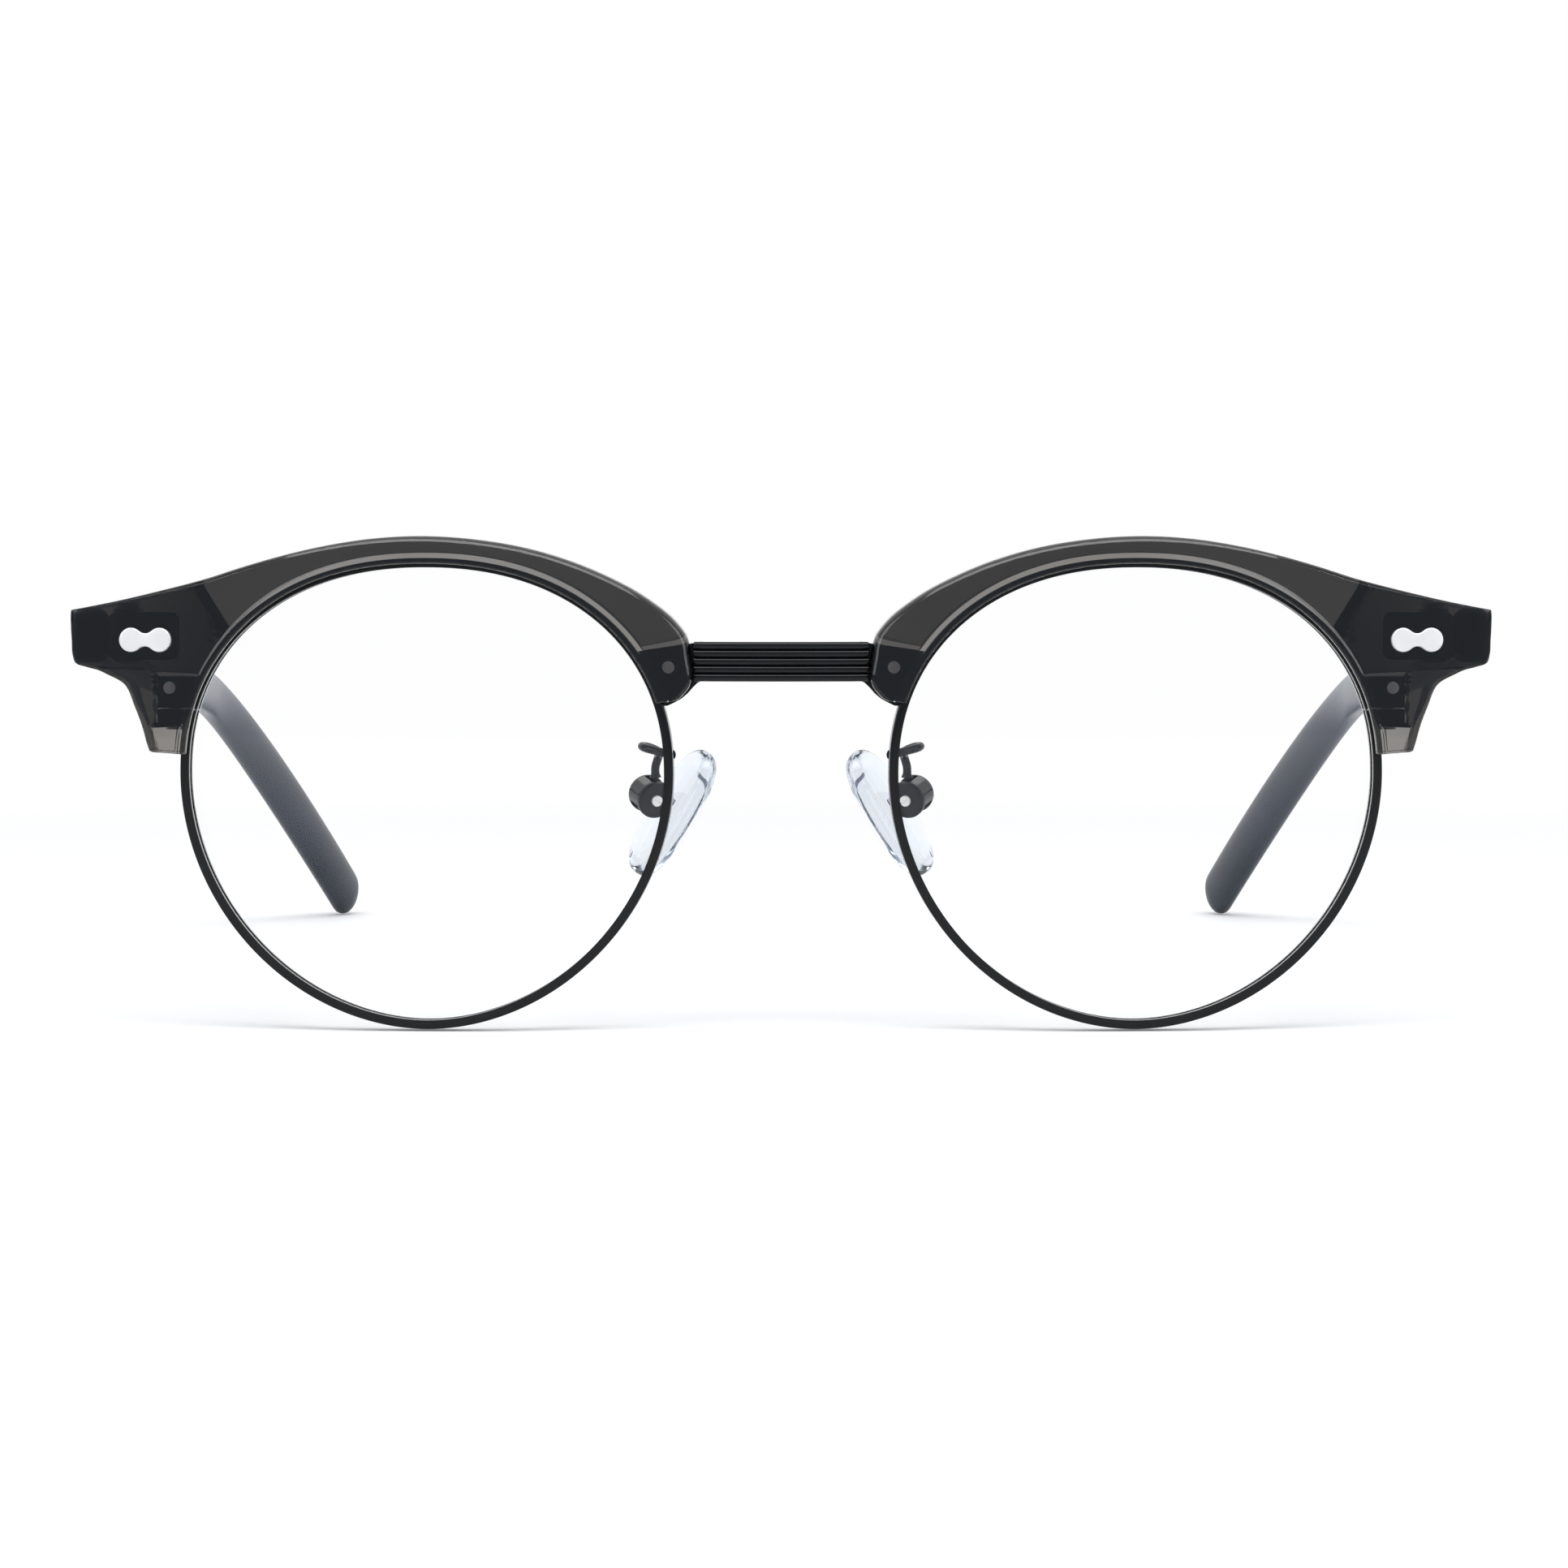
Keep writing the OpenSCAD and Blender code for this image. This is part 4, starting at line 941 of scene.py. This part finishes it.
def floor():
    mesh = bpy.data.meshes.new("floor")
    r = FLOOR_HALF
    mesh.from_pydata([(-r, -r, 0), (r, -r, 0), (r, r, 0), (-r, r, 0)], [], [(0, 1, 2, 3)])
    paint = Paint("white_floor")
    seen, mirrored = paint.rays()
    shown = paint.larger(seen, mirrored)
    # Beyond the object's shadow the floor is the plain colour of the backdrop
    away = paint.node("ShaderNodeVectorMath", {"operation": "LENGTH"}, {0: paint.place()},
                      out="Value")
    far = paint.node("ShaderNodeMapRange", None, {0: away, 1: SHADE_R, 2: PLAIN_R, 3: 0.0, 4: 1.0})
    shade = paint.node("ShaderNodeBsdfDiffuse", None, {"Color": PALE})
    glow = paint.node("ShaderNodeEmission", None, {"Color": WHITE, "Strength": shown * NEAR_GLOW})
    plain = paint.node("ShaderNodeEmission", None, {"Color": WHITE, "Strength": shown * 0.5 + 0.5})
    near = paint.node("ShaderNodeAddShader", None, {0: shade, 1: glow})
    both = paint.node("ShaderNodeMixShader", None, {0: far, 1: near, 2: plain})
    mesh.materials.append(paint.finish(both))
    plane = bpy.data.objects.new("floor", mesh)
    scene.collection.objects.link(plane)
    plane.location = (0, 0, -0.0002)


def studio():
    """White for the camera, a soft room for matt surfaces, a backdrop card for metal and glass."""
    air = Paint("studio", bpy.data.worlds.new("studio"))
    direction = air.node("ShaderNodeTexCoord", out="Generated")
    depth = air.node("ShaderNodeSeparateXYZ", None, {0: direction}, out="Y")
    seen, mirrored = air.rays()

    def over_depth(first, last, low, high):
        return air.node("ShaderNodeMapRange", None, {0: depth, 1: first, 2: last, 3: low, 4: high})

    room = over_depth(-0.25, 0.35, 0.22, 0.95)
    # The card is white behind the object, and grey and a little cooler on the camera's side
    card = over_depth(-0.1, 0.25, 0.5, 1.0)
    behind = over_depth(-0.1, 0.25, 0.0, 1.0)
    strength = air.larger(room * (1.0 - mirrored) + card * mirrored, seen)
    tone = air.mixed("MIX", air.larger(seen, behind), (0.84, 0.95, 1.12, 1), WHITE)
    back = air.node("ShaderNodeBackground", None, {"Color": tone, "Strength": strength})
    scene.world = air.finish(back, kind="World")


def lamp(name, place, target, size, power):
    light = bpy.data.lights.new(name, "AREA")
    light.shape = "RECTANGLE"
    light.size, light.size_y = size
    light.energy = power
    holder = bpy.data.objects.new(name, light)
    holder.location = place
    aim = Vector(target) - Vector(place)
    holder.rotation_euler = aim.to_track_quat("-Z", "Y").to_euler()
    scene.collection.objects.link(holder)


floor()
studio()
lamp("top_softbox", (0, -0.35, 0.85), (0, -0.05, 0), (0.9, 0.5), 6.5)
lamp("left_softbox", (-0.75, -0.65, 0.45), (0, -0.05, 0.02), (0.5, 0.6), 2.2)
lamp("right_softbox", (0.75, -0.65, 0.45), (0, -0.05, 0.02), (0.5, 0.6), 2.2)
